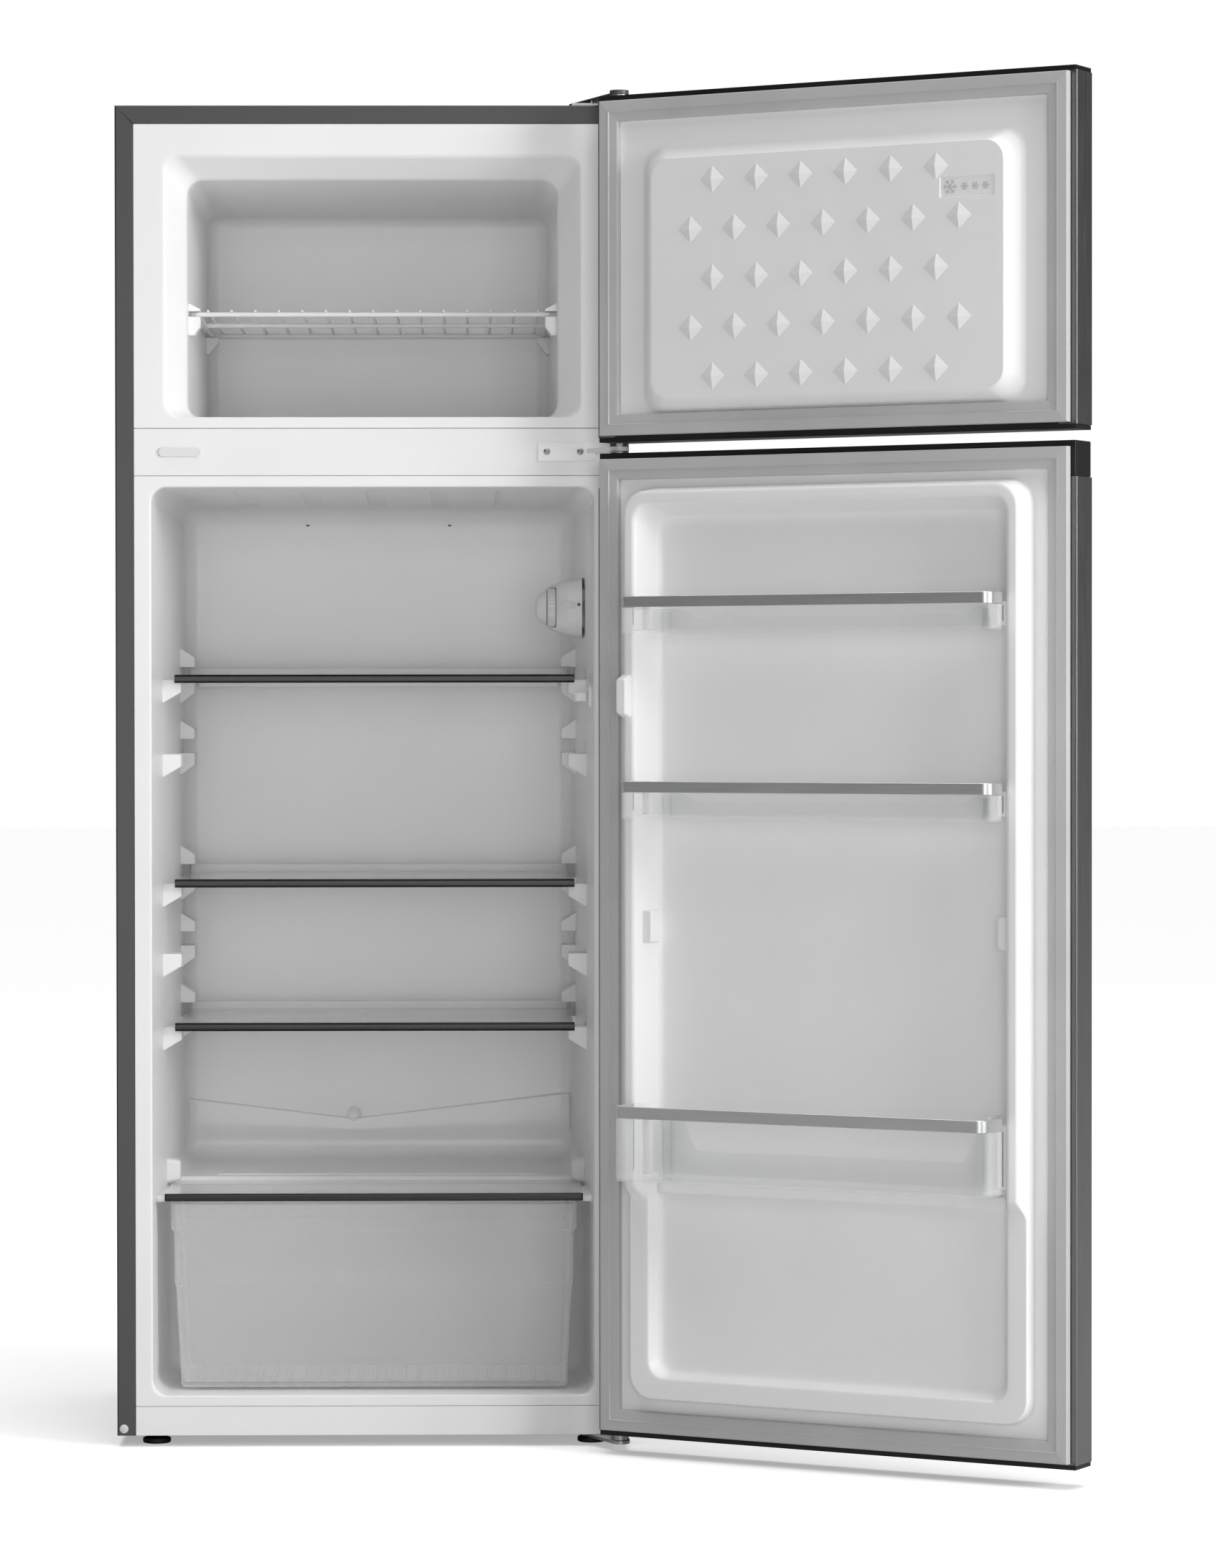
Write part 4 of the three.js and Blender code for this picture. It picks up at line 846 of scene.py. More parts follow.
# supports: at each shelf level a wedge in front and one behind under the glass, and a third
# above it at the back, which keeps the shelf from tipping
FRONT_WEDGE, REAR_WEDGE = (124, 164), (330, 374)
FRONT_TIP, REAR_TIP = 210, 206.2
UNDER_GLASS = 5.4
supports = []
for side in (-1, 1):
    for slot_level in (*LEVELS, *SPARE_SLOTS):
        seat = slot_level - UNDER_GLASS
        for y, tip in ((FRONT_WEDGE, FRONT_TIP), (REAR_WEDGE, REAR_TIP)):
            wall = half_width(y[0]) + 1
            supports.append(gusset(side, y, [
                (wall, seat), (wall, slot_level - 31.5), (tip, slot_level - 19), (tip, seat),
            ]))
        wall = half_width(REAR_WEDGE[0]) + 1
        supports.append(gusset(side, REAR_WEDGE, [
            (wall, slot_level + 10), (REAR_TIP, slot_level + 10), (REAR_TIP, slot_level + 21),
            (wall, slot_level + 32),
        ]))
    supports.append(boss(
        side, MOUTH, 219.5, (44, 188), (COVER_TOP - 9.5, COVER_TOP - 4.5), 1.5, 2, 1.2,
    ))
    supports.append(boss(
        side, half_width(160), 214, (166, 186), (COVER_TOP + 2, COVER_TOP + 24), 3,
    ))
supports.append(slab(cab, (-178, 178), (212, 224), (LEDGE - 4, LEDGE + 1.6), 5.5, 1.5))
piece("fridge_supports", "cabinet", white_liner, gathered(supports))

# drain: a short spout under the lowest point of the gutter, and two small holes near the
# ceiling, drawn as thin dark discs whose grey is painted shade in the holes
drain_x, drain_z = DRAIN
piece(
    "drain_spout", "cabinet", white_plastic,
    turned(cab, (drain_x, BACK - 3, drain_z),
           [(0, 1), (7.2, 1), (7.2, -4.6), (6.6, -5.4), (5.4, -5.4), (4.6, -4.6), (4.4, -3.2),
            (0, -3)], axis=1),
)
hole_shade_discs = []
for x in (-80.6, 80.6):
    hole_shade_discs.append(turned(
        cab, (x, BACK - 0.4, 994), [(0, 0.4), (2.1, 0.4), (2.1, -0.2), (0, -0.2)], axis=1,
        sides=20,
    ))
piece("liner_hole_painted_shade", "cabinet", painted_hole_shade, gathered(hole_shade_discs))

# ------------------------------------------------------------------ front trims, hinges and feet

piece(
    "mid_rail_trim", "cabinet", white_plastic,
    slab(lying, flange, (RAIL_BOTTOM + 0.3, RAIL_TOP - 0.3), (0, 2), 0.6, 0.5),
    replaces=["mid_rail"],
)
piece(
    "kick_trim", "cabinet", white_plastic,
    slab(lying, flange, (BASE, KICK_TOP - 0.3), (0, 2), 0.6, 0.5),
    replaces=["kick_panel"],
)
# grey strips in the seams on both sides of the mid rail and above the kick panel; their grey
# is painted shade in the gaps
piece(
    "seam_painted_shade", "cabinet", print_and_seam_shade_grey,
    gathered([
        slab(lying, flange, (z - 0.2, z + 0.2), (1, 1.8), 0.1, 0.1)
        for z in (RAIL_BOTTOM, RAIL_TOP + 0.1, KICK_TOP)
    ]),
)
plug_low, plug_high = extent("hinge_plug")
plug_x = (plug_low[0], plug_high[0])
plug_z = (plug_low[2], plug_high[2])
piece(
    "hinge_plug_cap", "cabinet", plug_white_and_painted_dimple_shade,
    slab(lying, plug_x, plug_z, (-1.9, -0.1), (plug_z[1] - plug_z[0]) / 2, 0.9),
    replaces=["hinge_plug"],
)

# hinges
softened("mid_hinge", white_paint, 0.7, "cabinet", 3)
softened("top_hinge", zinc, 0.5, "cabinet", 2)
softened("top_hinge_cover", cover_grey, 0.6, "cabinet", 3)
softened("bottom_hinge", zinc, 0.6, "cabinet", 2)
for number in (1, 2):
    node = f"mid_hinge_screw_{number}"
    low, high = extent(node)
    x = (low[0] + high[0]) / 2
    z = (low[2] + high[2]) / 2
    piece(
        f"{node}_head", "cabinet", zinc,
        turned(cab, (x, -3.3, z),
               [(0, 3.1), (2.1, 3.1), (2.1, -0.1), (3.5, -0.1), (3.4, -0.8), (2.6, -1.5),
                (1.6, -1.75), (1.2, -1.5), (0.8, -0.9), (0, -0.7)], axis=1, sides=28),
        replaces=[node],
    )

# feet
for side, name in ((-1, "left"), (1, "right")):
    x = side * (HALF - 40)
    piece(
        f"front_foot_{name}_turned", f"front_foot_{name}", black_plastic,
        turned(cab, (x, 36, 0),
               [(0, 0.1), (13.6, 0.1), (14.6, 0.6), (15, 1.6), (15, 4.6), (14.4, 5.6),
                (13, 6), (6.2, 6), (5, 6.6), (5, 11.7), (0, 11.7)], flutes=(20, 0.035)),
        replaces=[f"front_foot_{name}"], sharp=40,
    )
    piece(
        f"rear_foot_{name}_turned", "cabinet", black_plastic,
        turned(cab, (x, DEPTH - 40, 0),
               [(0, 0.1), (10.6, 0.1), (11.6, 0.9), (13, 9), (13, 11.6), (12.2, 12.7),
                (0, 12.7)], sides=36),
        replaces=[f"rear_foot_{name}"], sharp=40,
    )

# ------------------------------------------------------------------ shelves, crisper and wire shelf

# shelves: glass with ground edges, brushed front strip, moulded rear strip that hangs down
GLASS_HALF = 216.3
STRIP_HALF = 216.5
STRIP_FRONT, STRIP_BACK, STRIP_HEIGHT = 110, 122, 9
REAR_HALF = 214
for name, top in zip(("lower", "middle", "upper"), LEVELS):
    body = f"shelf_{name}"
    piece(
        f"glass_{name}", body, shelf_glass,
        slab(cab, (-GLASS_HALF, GLASS_HALF), (121, 383.5), (top - 5, top - 1), 5, 0.9),
        replaces=[f"shelf_glass_{name}"],
    )
    front = outline(
        [(STRIP_FRONT, top - STRIP_HEIGHT), (STRIP_BACK, top - STRIP_HEIGHT), (STRIP_BACK, top),
         (STRIP_FRONT, top)], (2.4, 0.8, 0.8, 2.4), 0, 4,
    )
    stations = np.array([-STRIP_HALF, -STRIP_HALF + 0.3, STRIP_HALF - 0.3, STRIP_HALF])
    scale = np.array([0.93, 1, 1, 0.93])[:, None]
    centre = front.mean(0)
    piece(
        f"front_strip_{name}", body, trim_steel,
        stack(cab(stations[:, None], centre[0] + (front[:, 0] - centre[0]) * scale,
                  centre[1] + (front[:, 1] - centre[1]) * scale)),
        replaces=[f"shelf_trim_{name}"],
    )
    piece(
        f"rear_strip_{name}", body, white_plastic,
        gathered([
            slab(cab, (-204.6, 204.6), (376, 386), (top - 12, top - 4), 1.2, 0.8),
            slab(cab, (-REAR_HALF, REAR_HALF), (376, 386), (top - 5, top - 0.2), 1.2, 0.8),
            slab(cab, (-REAR_HALF, REAR_HALF), (383, 386.5), (top - 0.5, top + 9), 1.2, 0.8),
        ]),
    )

# crisper cover and drawer
cover_half = half_width(190) - 4
piece(
    "cover_glass", "crisper_cover", shelf_glass,
    slab(cab, (-cover_half, cover_half), (34, 189.7), (COVER_TOP - 4, COVER_TOP - 0.2), 4, 0.9),
    replaces=["crisper_cover"],
)
piece(
    "cover_strip", "crisper_cover", trim_steel,
    slab(cab, (-cover_half, cover_half), (28, 36), (COVER_TOP - 8, COVER_TOP), 1.6, 0.9),
    replaces=["crisper_cover_trim"],
)

# drawer: from its foot up the outside, with a small step above half its height and a wider
# collar at the rim, then down the inside to the ribbed floor
DRAWER = level("crisper_drawer", top=False)
DRAWER_TOP = level("crisper_drawer")
drawer_rings = ringed(cab_up, [
    (DRAWER + 3, -200, 200, 50, 174, 6),
    (DRAWER, -203, 203, 46, 178, 8), (DRAWER, -207, 207, 40, 183, 10),
    (DRAWER + 108, -212.5, 212.5, 36, 187, 12), (DRAWER + 110, -213.8, 213.8, 34.8, 188, 12),
    (DRAWER + 167, -214.6, 214.6, 34.2, 188.4, 12), (DRAWER + 169, -217.4, 217.4, 32, 190, 13),
    (DRAWER_TOP, -217.5, 217.5, 32, 190, 13), (DRAWER_TOP, -214.6, 214.6, 34.6, 187.4, 11),
    (DRAWER + 171, -212.6, 212.6, 36.2, 186.4, 11),
    (DRAWER + 110, -211.6, 211.6, 37, 185.8, 10),
    (DRAWER + 5.5, -205, 205, 42.5, 180.5, 8), (DRAWER + 5.5, -198, 198, 50, 172, 5),
], (0, 1, 5, 1.2, 1.2, 1.2, 1.2, 1.2, 1.2, 1.5, 1.5, 6, 0), 4, 6)
ribs = [
    slab(cab, (x - 2.6, x + 2.6), (52, 172), (DRAWER + 4, DRAWER + 8), 2.4, 1.4)
    for x in np.linspace(-186, 186, 25)
]
piece(
    "drawer_clear", "crisper_drawer", milky_plastic,
    gathered([stack(drawer_rings), *ribs]),
    replaces=["crisper_drawer"], sharp=35,
)

# wire shelf: three rails across, two side rails, and thin wires laid over them
RACK_HALF = 190.0
RAIL_RADIUS, THIN_RADIUS = 2.5, 1.5
RAIL_ROWS = (60, 220, 380)
WIRE_PITCH = 25.25
bars = [rod(cab, (-RACK_HALF, y, WIRE), (RACK_HALF, y, WIRE), RAIL_RADIUS, 16) for y in RAIL_ROWS]
for x in (-RACK_HALF + RAIL_RADIUS, RACK_HALF - RAIL_RADIUS):
    bars.append(rod(cab, (x, 58, WIRE), (x, 382, WIRE), RAIL_RADIUS, 16))
for x in WIRE_PITCH * np.arange(-7, 8):
    bars.append(rod(cab, (x, 57, WIRE + 3.6), (x, 382, WIRE + 3.6), THIN_RADIUS, 12, 0.6))
piece(
    "wire_rack", "wire_shelf", wire_white, gathered(bars),
    replaces=["wire_shelf"], sharp=45,
)

# ------------------------------------------------------------------ thermostat, lamp and switch

# a domed housing with a ribbed thumbwheel across its front, and a screw hole with its oval
# dimple; the dimple is drawn as a thin proud oval whose darker white is painted shade of the
# recessed dish
softened("thermostat_housing", white_plastic, 0.5, "cabinet", 2)
wheel_low, wheel_high = extent("thermostat_dial")
housing_low = extent("thermostat_housing")[0]
wheel_radius = (wheel_high[2] - wheel_low[2]) / 2
wheel_y = wheel_low[1] + wheel_radius
wheel_x = housing_low[0] + 12.5
dial_z = (wheel_low[2] + wheel_high[2]) / 2
piece(
    "thermostat_knob", "thermostat_dial", plug_white_and_painted_dimple_shade,
    turned(cab, (wheel_x, wheel_y, dial_z),
           [(0, 0.6), (wheel_radius - 5, 0.6), (wheel_radius - 4, 0), (wheel_radius - 1, 0),
            (wheel_radius, 1), (wheel_radius, 8), (wheel_radius - 1, 9), (4, 9), (4, 13.6),
            (0, 13.8)], axis=0, sides=160, flutes=(40, 0.03)),
    replaces=["thermostat_dial"], sharp=40,
)
# the dimple is a thin proud oval; its darker white is painted shade of the recessed dish
dimple = outline([(204.5, dial_z - 1), (219.8, dial_z - 1), (219.8, dial_z + 7),
                  (204.5, dial_z + 7)], (3.9,) * 4, 0, 6)
dimple_rings = [
    cab(run[:, 0], depth, run[:, 1]) for run, depth in (
        (dimple, 152.2), (dimple, 150.6),
        (outline([(205, dial_z - 0.5), (219.3, dial_z - 0.5), (219.3, dial_z + 6.5),
                  (205, dial_z + 6.5)], (3.4,) * 4, 0, 6), 150.2),
    )
]
piece("housing_dimple_painted_shade", "cabinet", plug_white_and_painted_dimple_shade, stack(np.array(dimple_rings)), sharp=40)
# the screw hole is a thin dark disc whose grey is painted shade in the hole
piece(
    "housing_screw_hole_painted_shade", "cabinet", painted_hole_shade,
    turned(cab, (222.4, 150, dial_z + 3), [(0, 1), (1.8, 1), (1.8, -0.3), (0, -0.3)], axis=1,
           sides=20),
)
lamp_low, lamp_high = extent("lamp")
lamp_x = (lamp_low[0] + lamp_high[0]) / 2
lamp_y = (lamp_low[1] + lamp_high[1]) / 2
bend = arc(-90, 60, 12)
piece(
    "lamp_bulb", "cabinet", lamp_glass,
    turned(cab, (lamp_x, lamp_y, dial_z),
           [(max(9 * math.cos(t), 0.01), 9 * math.sin(t)) for t in bend]
           + [(4.6, 8.6), (4.6, 9), (0.01, 9)], axis=0),
    replaces=["lamp"], sharp=40,
)
switch_low, switch_high = extent("light_switch")
switch_x = (switch_low[0], switch_high[0])
piece(
    "switch_rocker", "light_switch", white_plastic,
    slab(cab, switch_x, (40, 56), (switch_low[2], switch_high[2]), 3, 1.2),
    replaces=["light_switch"],
)
piece(
    "switch_frame", "cabinet", white_plastic,
    tray(lambda a, b, h: cab(half_width(48) + 0.6 - h, a, b),
         [(34, switch_low[2] - 7), (64, switch_low[2] - 7), (64, switch_high[2] + 7),
          (34, switch_high[2] + 7)], (3, 3, 3, 3), 0, 3, 2.4, 1, 0.4, 0.5),
)

# ------------------------------------------------------------------ machine space and condenser

MACHINE_Y = (233 + DEPTH) / 2 - 0.3
COMPRESSOR_X = -70
softened("compressor_plate", zinc, 0.8, "cabinet", 2)
softened("drip_tray", black_plastic, 1.0, "cabinet", 2)
softened("relay_cover", black_plastic, 3.0, "cabinet", 3)
softened("power_inlet", black_plastic, 1.0, "cabinet", 2)
can = [(0, 29.5), (40, 29.5), (56, 33), (67, 42), (71.2, 56), (72, 70), (72, 92), (73.6, 93),
       (73.6, 97), (72, 98), (72, 124), (70, 142), (62, 158), (48, 168), (28, 173.6), (0, 175)]
mounts = []
for sx in (-80, 80):
    for sy in (-38, 38):
        mounts.append(turned(
            cab, (COMPRESSOR_X + sx, MACHINE_Y + sy, 15.3),
            [(0, 0), (8, 0), (9, 1), (9, 4), (7.4, 5.4), (9, 7), (9, 12), (0, 12)], sides=24,
        ))
        mounts.append(turned(
            cab, (COMPRESSOR_X + sx, MACHINE_Y + sy, 31),
            [(0, -1), (6, -1), (6, 3.4), (5, 4.6), (0, 4.6)], sides=6,
        ))
piece(
    "compressor_can", "cabinet", black_steel,
    gathered([
        turned(cab, (COMPRESSOR_X, MACHINE_Y, 0), can, sides=72),
        slab(cab, (COMPRESSOR_X - 92, COMPRESSOR_X + 92), (MACHINE_Y - 50, MACHINE_Y + 50),
             (27.3, 31.3), 14, 1.2),
        *mounts,
    ]),
    replaces=["compressor"], sharp=40,
)
drier_low, drier_high = extent("filter_drier")
drier_x = (drier_low[0] + drier_high[0]) / 2
drier_y = (drier_low[1] + drier_high[1]) / 2
piece(
    "drier_can", "cabinet", copper,
    turned(cab, (drier_x, drier_y, drier_low[2]),
           [(0, 0), (2.4, 0), (2.8, 0.5), (2.8, 13), (4, 15), (8.6, 20), (9.8, 24), (9.8, 34),
            (10, 35), (9.8, 36), (9.8, 90), (8.6, 94), (4, 99), (2.8, 101), (2.8, 113.5),
            (2.4, 114), (0, 114)], sides=36),
    replaces=["filter_drier"], sharp=40,
)
COIL_Y = DEPTH + 32
tubes = [
    pipe(cab, eased([(drier_x, drier_y, drier_low[2] + 6), (drier_x, drier_y, 28),
                     (drier_x - 24, drier_y, 24), (COMPRESSOR_X + 40, drier_y - 12, 24),
                     (COMPRESSOR_X + 40, MACHINE_Y + 52, 60),
                     (COMPRESSOR_X + 40, MACHINE_Y + 52, 84)], 14, 6), 2.0),
    pipe(cab, eased([(COMPRESSOR_X - 64, MACHINE_Y, 84), (COMPRESSOR_X - 96, MACHINE_Y, 84),
                     (COMPRESSOR_X - 110, MACHINE_Y + 20, 100),
                     (COMPRESSOR_X - 120, MACHINE_Y + 60, 190),
                     (-216, MACHINE_Y + 96, 200), (-216, COIL_Y - 12, 262),
                     (-205, COIL_Y, 290)], 16, 6), 2.3),
    pipe(cab, eased([(drier_x, drier_y, drier_high[2] - 6), (drier_x, drier_y, 172),
                     (drier_x + 60, drier_y + 6, 200), (225, drier_y + 20, 214),
                     (225, DEPTH + 8, 230), (225, DEPTH + 8, 268)], 14, 6), 1.6),
]
piece("machine_tubes", "cabinet", copper, gathered(tubes), sharp=60)
piece(
    "inlet_pins", "cabinet", zinc,
    gathered([
        slab(lying, (241 + k * 7 - 1.2, 241 + k * 7 + 1.2), (65 - 2.4, 65 + 2.4),
             (DEPTH - 17.4, DEPTH - 7), 0.4, 0.4) for k in (-1, 0, 1)
    ]),
)

# condenser: one serpentine tube with rows of fine wires welded across it, front and back
COIL_HALF = HALF - 38
PASSES = 12
first, last = 290.0, level("condenser") - 12
pitch = (last - first) / (PASSES - 1)
swing = pitch / 2
straight = COIL_HALF - swing
loop = []
for number in range(PASSES):
    z = first + number * pitch
    right = 1 if number % 2 == 0 else -1
    loop.append([(-right * straight, COIL_Y, z), (right * straight, COIL_Y, z)])
    if number + 1 < PASSES:
        t = arc(0, 180, 14)[1:-1]
        loop.append(np.stack([
            right * (straight + swing * np.sin(t)), np.full_like(t, COIL_Y),
            z + swing - swing * np.cos(t),
        ], -1))
coil = pipe(cab, np.concatenate(loop), 2.5, 12)
wires = []
for x in np.linspace(-(straight - 8), straight - 8, 56):
    for side in (-1, 1):
        wires.append(rod(
            cab, (x, COIL_Y + side * 3.1, first - 11), (x, COIL_Y + side * 3.1, last + 11),
            0.75, 6, 0.5,
        ))
piece(
    "condenser_grille", "cabinet", black_steel, gathered([coil, *wires]),
    replaces=["condenser"], sharp=45,
)
softened("condenser_bracket_lower", black_plastic, 1.2, "cabinet", 2)
softened("condenser_bracket_upper", black_plastic, 1.2, "cabinet", 2)
coated("cabinet_foam", foam)
coated("freezer_evaporator", zinc)

# ------------------------------------------------------------------ doors

INWARD = door(0, 1, 0) - door(0, 0, 0)
CAP = 4.5
GRIP_CAP = 36
RETURN = 20
SKIN = 0.9


def flat(u, z, n):
    """Outline in u and z, height along n."""
    return door(u, n, z)


def standing(u, n, z):
    """Outline in u and n, height along z."""
    return door(u, n, z)


def door_skin(body, low, high):
    """Steel folded round the door: front, two sides and a narrow return on the inner face,
    as one thin section run from the bottom cap to the top one."""
    run = eased([
        (RETURN, 0), (0, 0), (0, -DOOR_THICK), (DOOR_WIDTH, -DOOR_THICK), (DOOR_WIDTH, 0),
        (DOOR_WIDTH - RETURN, 0),
    ], (0, 1.2, 3.5, 3.5, 1.2, 0), 5)
    side = normals(run)
    centre = np.array([DOOR_WIDTH / 2, -DOOR_THICK / 2])
    if ((centre - run) * side).sum() < 0:
        side = -side
    section = np.concatenate([run, (run + SKIN * side)[::-1]])
    rings = [standing(section[:, 0], section[:, 1], z) for z in (low, high)]
    piece(
        f"{body}_steel", body, steel_side, stack(np.array(rings)),
        replaces=[f"{body}_skin"], sharp=35,
    )


def door_gasket(body, low, high):
    """Magnetic seal swept round the door with mitred corners: a broad bead and a lower lip
    inside it, with a fine ridge between them."""
    section = np.array([
        (6.4, 1.9), (6.4, 8.8), (6.8, 9.8), (7.8, 10.3), (16.6, 10.5), (17.2, 11), (17.9, 11),
        (18.4, 10.4), (18.7, 9.6), (27.2, 9.3), (28.0, 8.9), (28.4, 8), (28.4, 1.9),
    ])
    section = np.concatenate([section, section[:1]])
    rings = []
    for margin, height in section:
        a, b = rounded(margin, DOOR_WIDTH - margin, low + margin, high - margin, 0.4, 2)
        rings.append(flat(a, b, height))
    points, faces = sheet(np.array(rings), wrap=True)
    piece(
        f"{body}_seal", body, gasket_vinyl, outward(points, faces),
        replaces=[f"{body}_gasket"], sharp=50,
    )


for body, (low, high) in (("freezer_door", UPPER), ("fridge_door", LOWER)):
    top_cap = GRIP_CAP if body == "fridge_door" else CAP
    door_skin(body, low + CAP + 0.3, high - top_cap - 0.3)
    door_gasket(body, low, high)
    softened(f"{body}_top_cap", black_plastic, 1.1, body, 3)
    softened(f"{body}_bottom_cap", black_plastic, 1.1, body, 3)
    coated(f"{body}_foam", foam)

# freezer door liner: plate, raised panel, sunk plaque, diamonds and small frost marks
low, high = UPPER
plate = (12, DOOR_WIDTH - 12, low + 12, high - 12)
base_ring = (56.5, DOOR_WIDTH - 56.5, low + 28.5, high - 59.5)
top_ring = (70, DOOR_WIDTH - 72.5, low + 41, high - 71.5)
PLAQUE = (402.4, 463, 1299, 1320)
liner_rings = ringed(flat, [
    (0.4, *plate, 4), (1.8, *plate, 4), (1.8, *base_ring, 24), (18, *top_ring, 20),
    (18, *PLAQUE, 1.5), (16.9, PLAQUE[0] + 0.4, PLAQUE[1] - 0.4, PLAQUE[2] + 0.4,
                         PLAQUE[3] - 0.4, 1.3),
    (16.9, 430, 436, 1308, 1311, 0.5),
], (0, 0.7, 3, 4, 0.25, 0.25, 0), 6, 8)
diamonds = []
panel_u = (base_ring[0] + base_ring[1]) / 2
panel_mid = (base_ring[2] + base_ring[3]) / 2
for row in range(-2, 3):
    count = 6 if row % 2 == 0 else 7
    for k in range(count):
        u = panel_u + (k - (count - 1) / 2) * 50.8 - 1.25
        z = panel_mid + row * 50.8
        rise = eased([(14.4, 17.4), (14, 18.05), (1.2, 21.2), (0.01, 21.5)], (0, 0.5, 1.6, 0), 4)
        facet = arc(0, 360, 16)[:-1]
        blend = np.abs(np.cos(facet)) + np.abs(np.sin(facet))
        rings = [
            flat(u + r * np.cos(facet) / blend, z + r * np.sin(facet) / blend, n)
            for r, n in rise
        ]
        diamonds.append(stack(np.array(rings)))


def frost_mark(u, z, size, n):
    """Six-armed snow crystal with short side branches, in low relief."""
    bars = []
    for angle in arc(0, 300, 5):
        c, s = math.cos(angle), math.sin(angle)
        bars.append(((0, 0), (size * c, size * s)))
        foot = 0.6 * size * np.array([c, s])
        for branch in (angle + 1.0, angle - 1.0):
            bars.append((foot, foot + 0.32 * size * np.array([math.cos(branch), math.sin(branch)])))
    marks = []
    for start, end in bars:
        marks.append(rod(
            flat, (u + start[0], z + start[1], n), (u + end[0], z + end[1], n),
            0.055 * size + 0.12, 8, 0.4,
        ))
    return marks


piece(
    "freezer_door_inner", "freezer_door", white_liner, bowl(liner_rings, INWARD),
    replaces=["freezer_door_liner"], thick=1.2, sharp=50,
)
piece(
    "freezer_door_diamonds", "freezer_door", white_liner, gathered(diamonds),
    sharp=20,
)
marks = frost_mark(414, 1309.5, 8, 17)
for k in range(3):
    marks += frost_mark(430 + 11.5 * k, 1309.5, 4.2, 17)
piece("freezer_frost_marks", "freezer_door", print_and_seam_shade_grey, gathered(marks), sharp=60)

# fridge door liner: plate, dike, drafted inner walls and floor
low, high = LOWER
plate = (12, DOOR_WIDTH - 12, low + 12, high - 12)
PLATE, LINER_FLOOR = 1.8, 3
DIKE, LOW_DIKE = 35.5, 18
DIKE_FOOT, DIKE_LEAN, DIKE_CREST, DIKE_FALL = 44.6, 4, 12.5, 14
STEP = (270, 290)


def dike_ring(inset, radius):
    """The dike's outline, moved in by `inset` from its foot."""
    near = DIKE_FOOT + inset
    return (near, DOOR_WIDTH - near, low + 42 + inset, high - 38 - inset, radius)


def bordered(u, z, n):
    """The liner's surface: below the step the dike is cut off softly at LOW_DIKE."""
    soft = 1.5
    cut = -soft * np.logaddexp(-n / soft, -LOW_DIKE / soft)
    return flat(u, z, n + (cut - n) * smooth((STEP[1] - z) / (STEP[1] - STEP[0])))


shoulder = (13, 16, 18, 20, 23)
inner_edge = DIKE_LEAN + DIKE_CREST
inner_foot = inner_edge + DIKE_FALL
liner_rings = ringed(bordered, [
    (0.4, *plate, 4), (PLATE, *plate, 4), (PLATE, *dike_ring(0, 26)),
    *((n, *dike_ring(DIKE_LEAN * (n - PLATE) / (DIKE - PLATE), 25)) for n in shoulder),
    (DIKE, *dike_ring(DIKE_LEAN, 24)), (DIKE, *dike_ring(inner_edge, 20)),
    *((n, *dike_ring(inner_edge + DIKE_FALL * (DIKE - n) / (DIKE - LINER_FLOOR), 18))
      for n in shoulder[::-1]),
    (LINER_FLOOR, *dike_ring(inner_foot, 16)), (LINER_FLOOR, *dike_ring(60, 6)),
], (0, 0.7, 3, 0, 0, 0, 0, 0, 4, 4, 0, 0, 0, 0, 0, 9, 0), 6, 8, np.linspace(*STEP, 13))
rim = DIKE_FOOT + inner_edge
fittings = []
BINS = [("lower", 86, 12.5), ("middle", 72, 11.5), ("upper", 72, 11.5)]  # front, strip height
BIN_WALL = 2.1
spans = {name: (level(f"bin_{name}", top=False), level(f"bin_trim_{name}")) for name, _, _ in BINS}


def door_boss(side, z0, z1):
    """A block on the dike's inner wall that a bin's end hooks over."""
    wide, tall = 11, 25
    near = rim - 2 if side < 0 else DOOR_WIDTH - rim + 2
    far = rim + 4 + wide if side < 0 else DOOR_WIDTH - rim - 4 - wide
    u0, u1 = sorted((near, far))
    keys = [(2, u0, u1, z0, z1, 3), (tall, u0, u1, z0 + 1, z1 - 1, 3),
            (tall, u0 + 3, u1 - 3, z0 + 4, z1 - 4, 1)]
    return stack(ringed(flat, keys, (0, 2.5, 0), 4, 4))


for name, front, strip in BINS:
    z0, z1 = spans[name]
    for side in (-1, 1):
        fittings.append(door_boss(side, z0 + 4, z1 - 8))
for side in (-1, 1):
    fittings.append(door_boss(side, 540, 575))
fittings.append(slab(flat, (74, DOOR_WIDTH - 74), (278, 292), (2, 8), 5, 2.5))
pusher_z = (switch_low[2] + switch_high[2]) / 2
fittings.append(stack(ringed(flat, [
    (26, 45, 60, pusher_z - 25, pusher_z + 25, 3), (DIKE + 1, 45.8, 58, pusher_z - 22,
                                                    pusher_z + 22, 3),
    (47.2, 46.6, 57, pusher_z - 18, pusher_z + 18, 3), (47.2, 50, 54, pusher_z - 12,
                                                       pusher_z + 12, 1),
], (0, 3, 1.5, 0), 4, 5)))
piece(
    "fridge_door_inner", "fridge_door", white_liner, bowl(liner_rings, INWARD),
    replaces=["fridge_door_liner"], thick=1.2, sharp=50,
)
piece(
    "fridge_door_fittings", "fridge_door", white_liner, gathered(fittings),
    sharp=40,
)
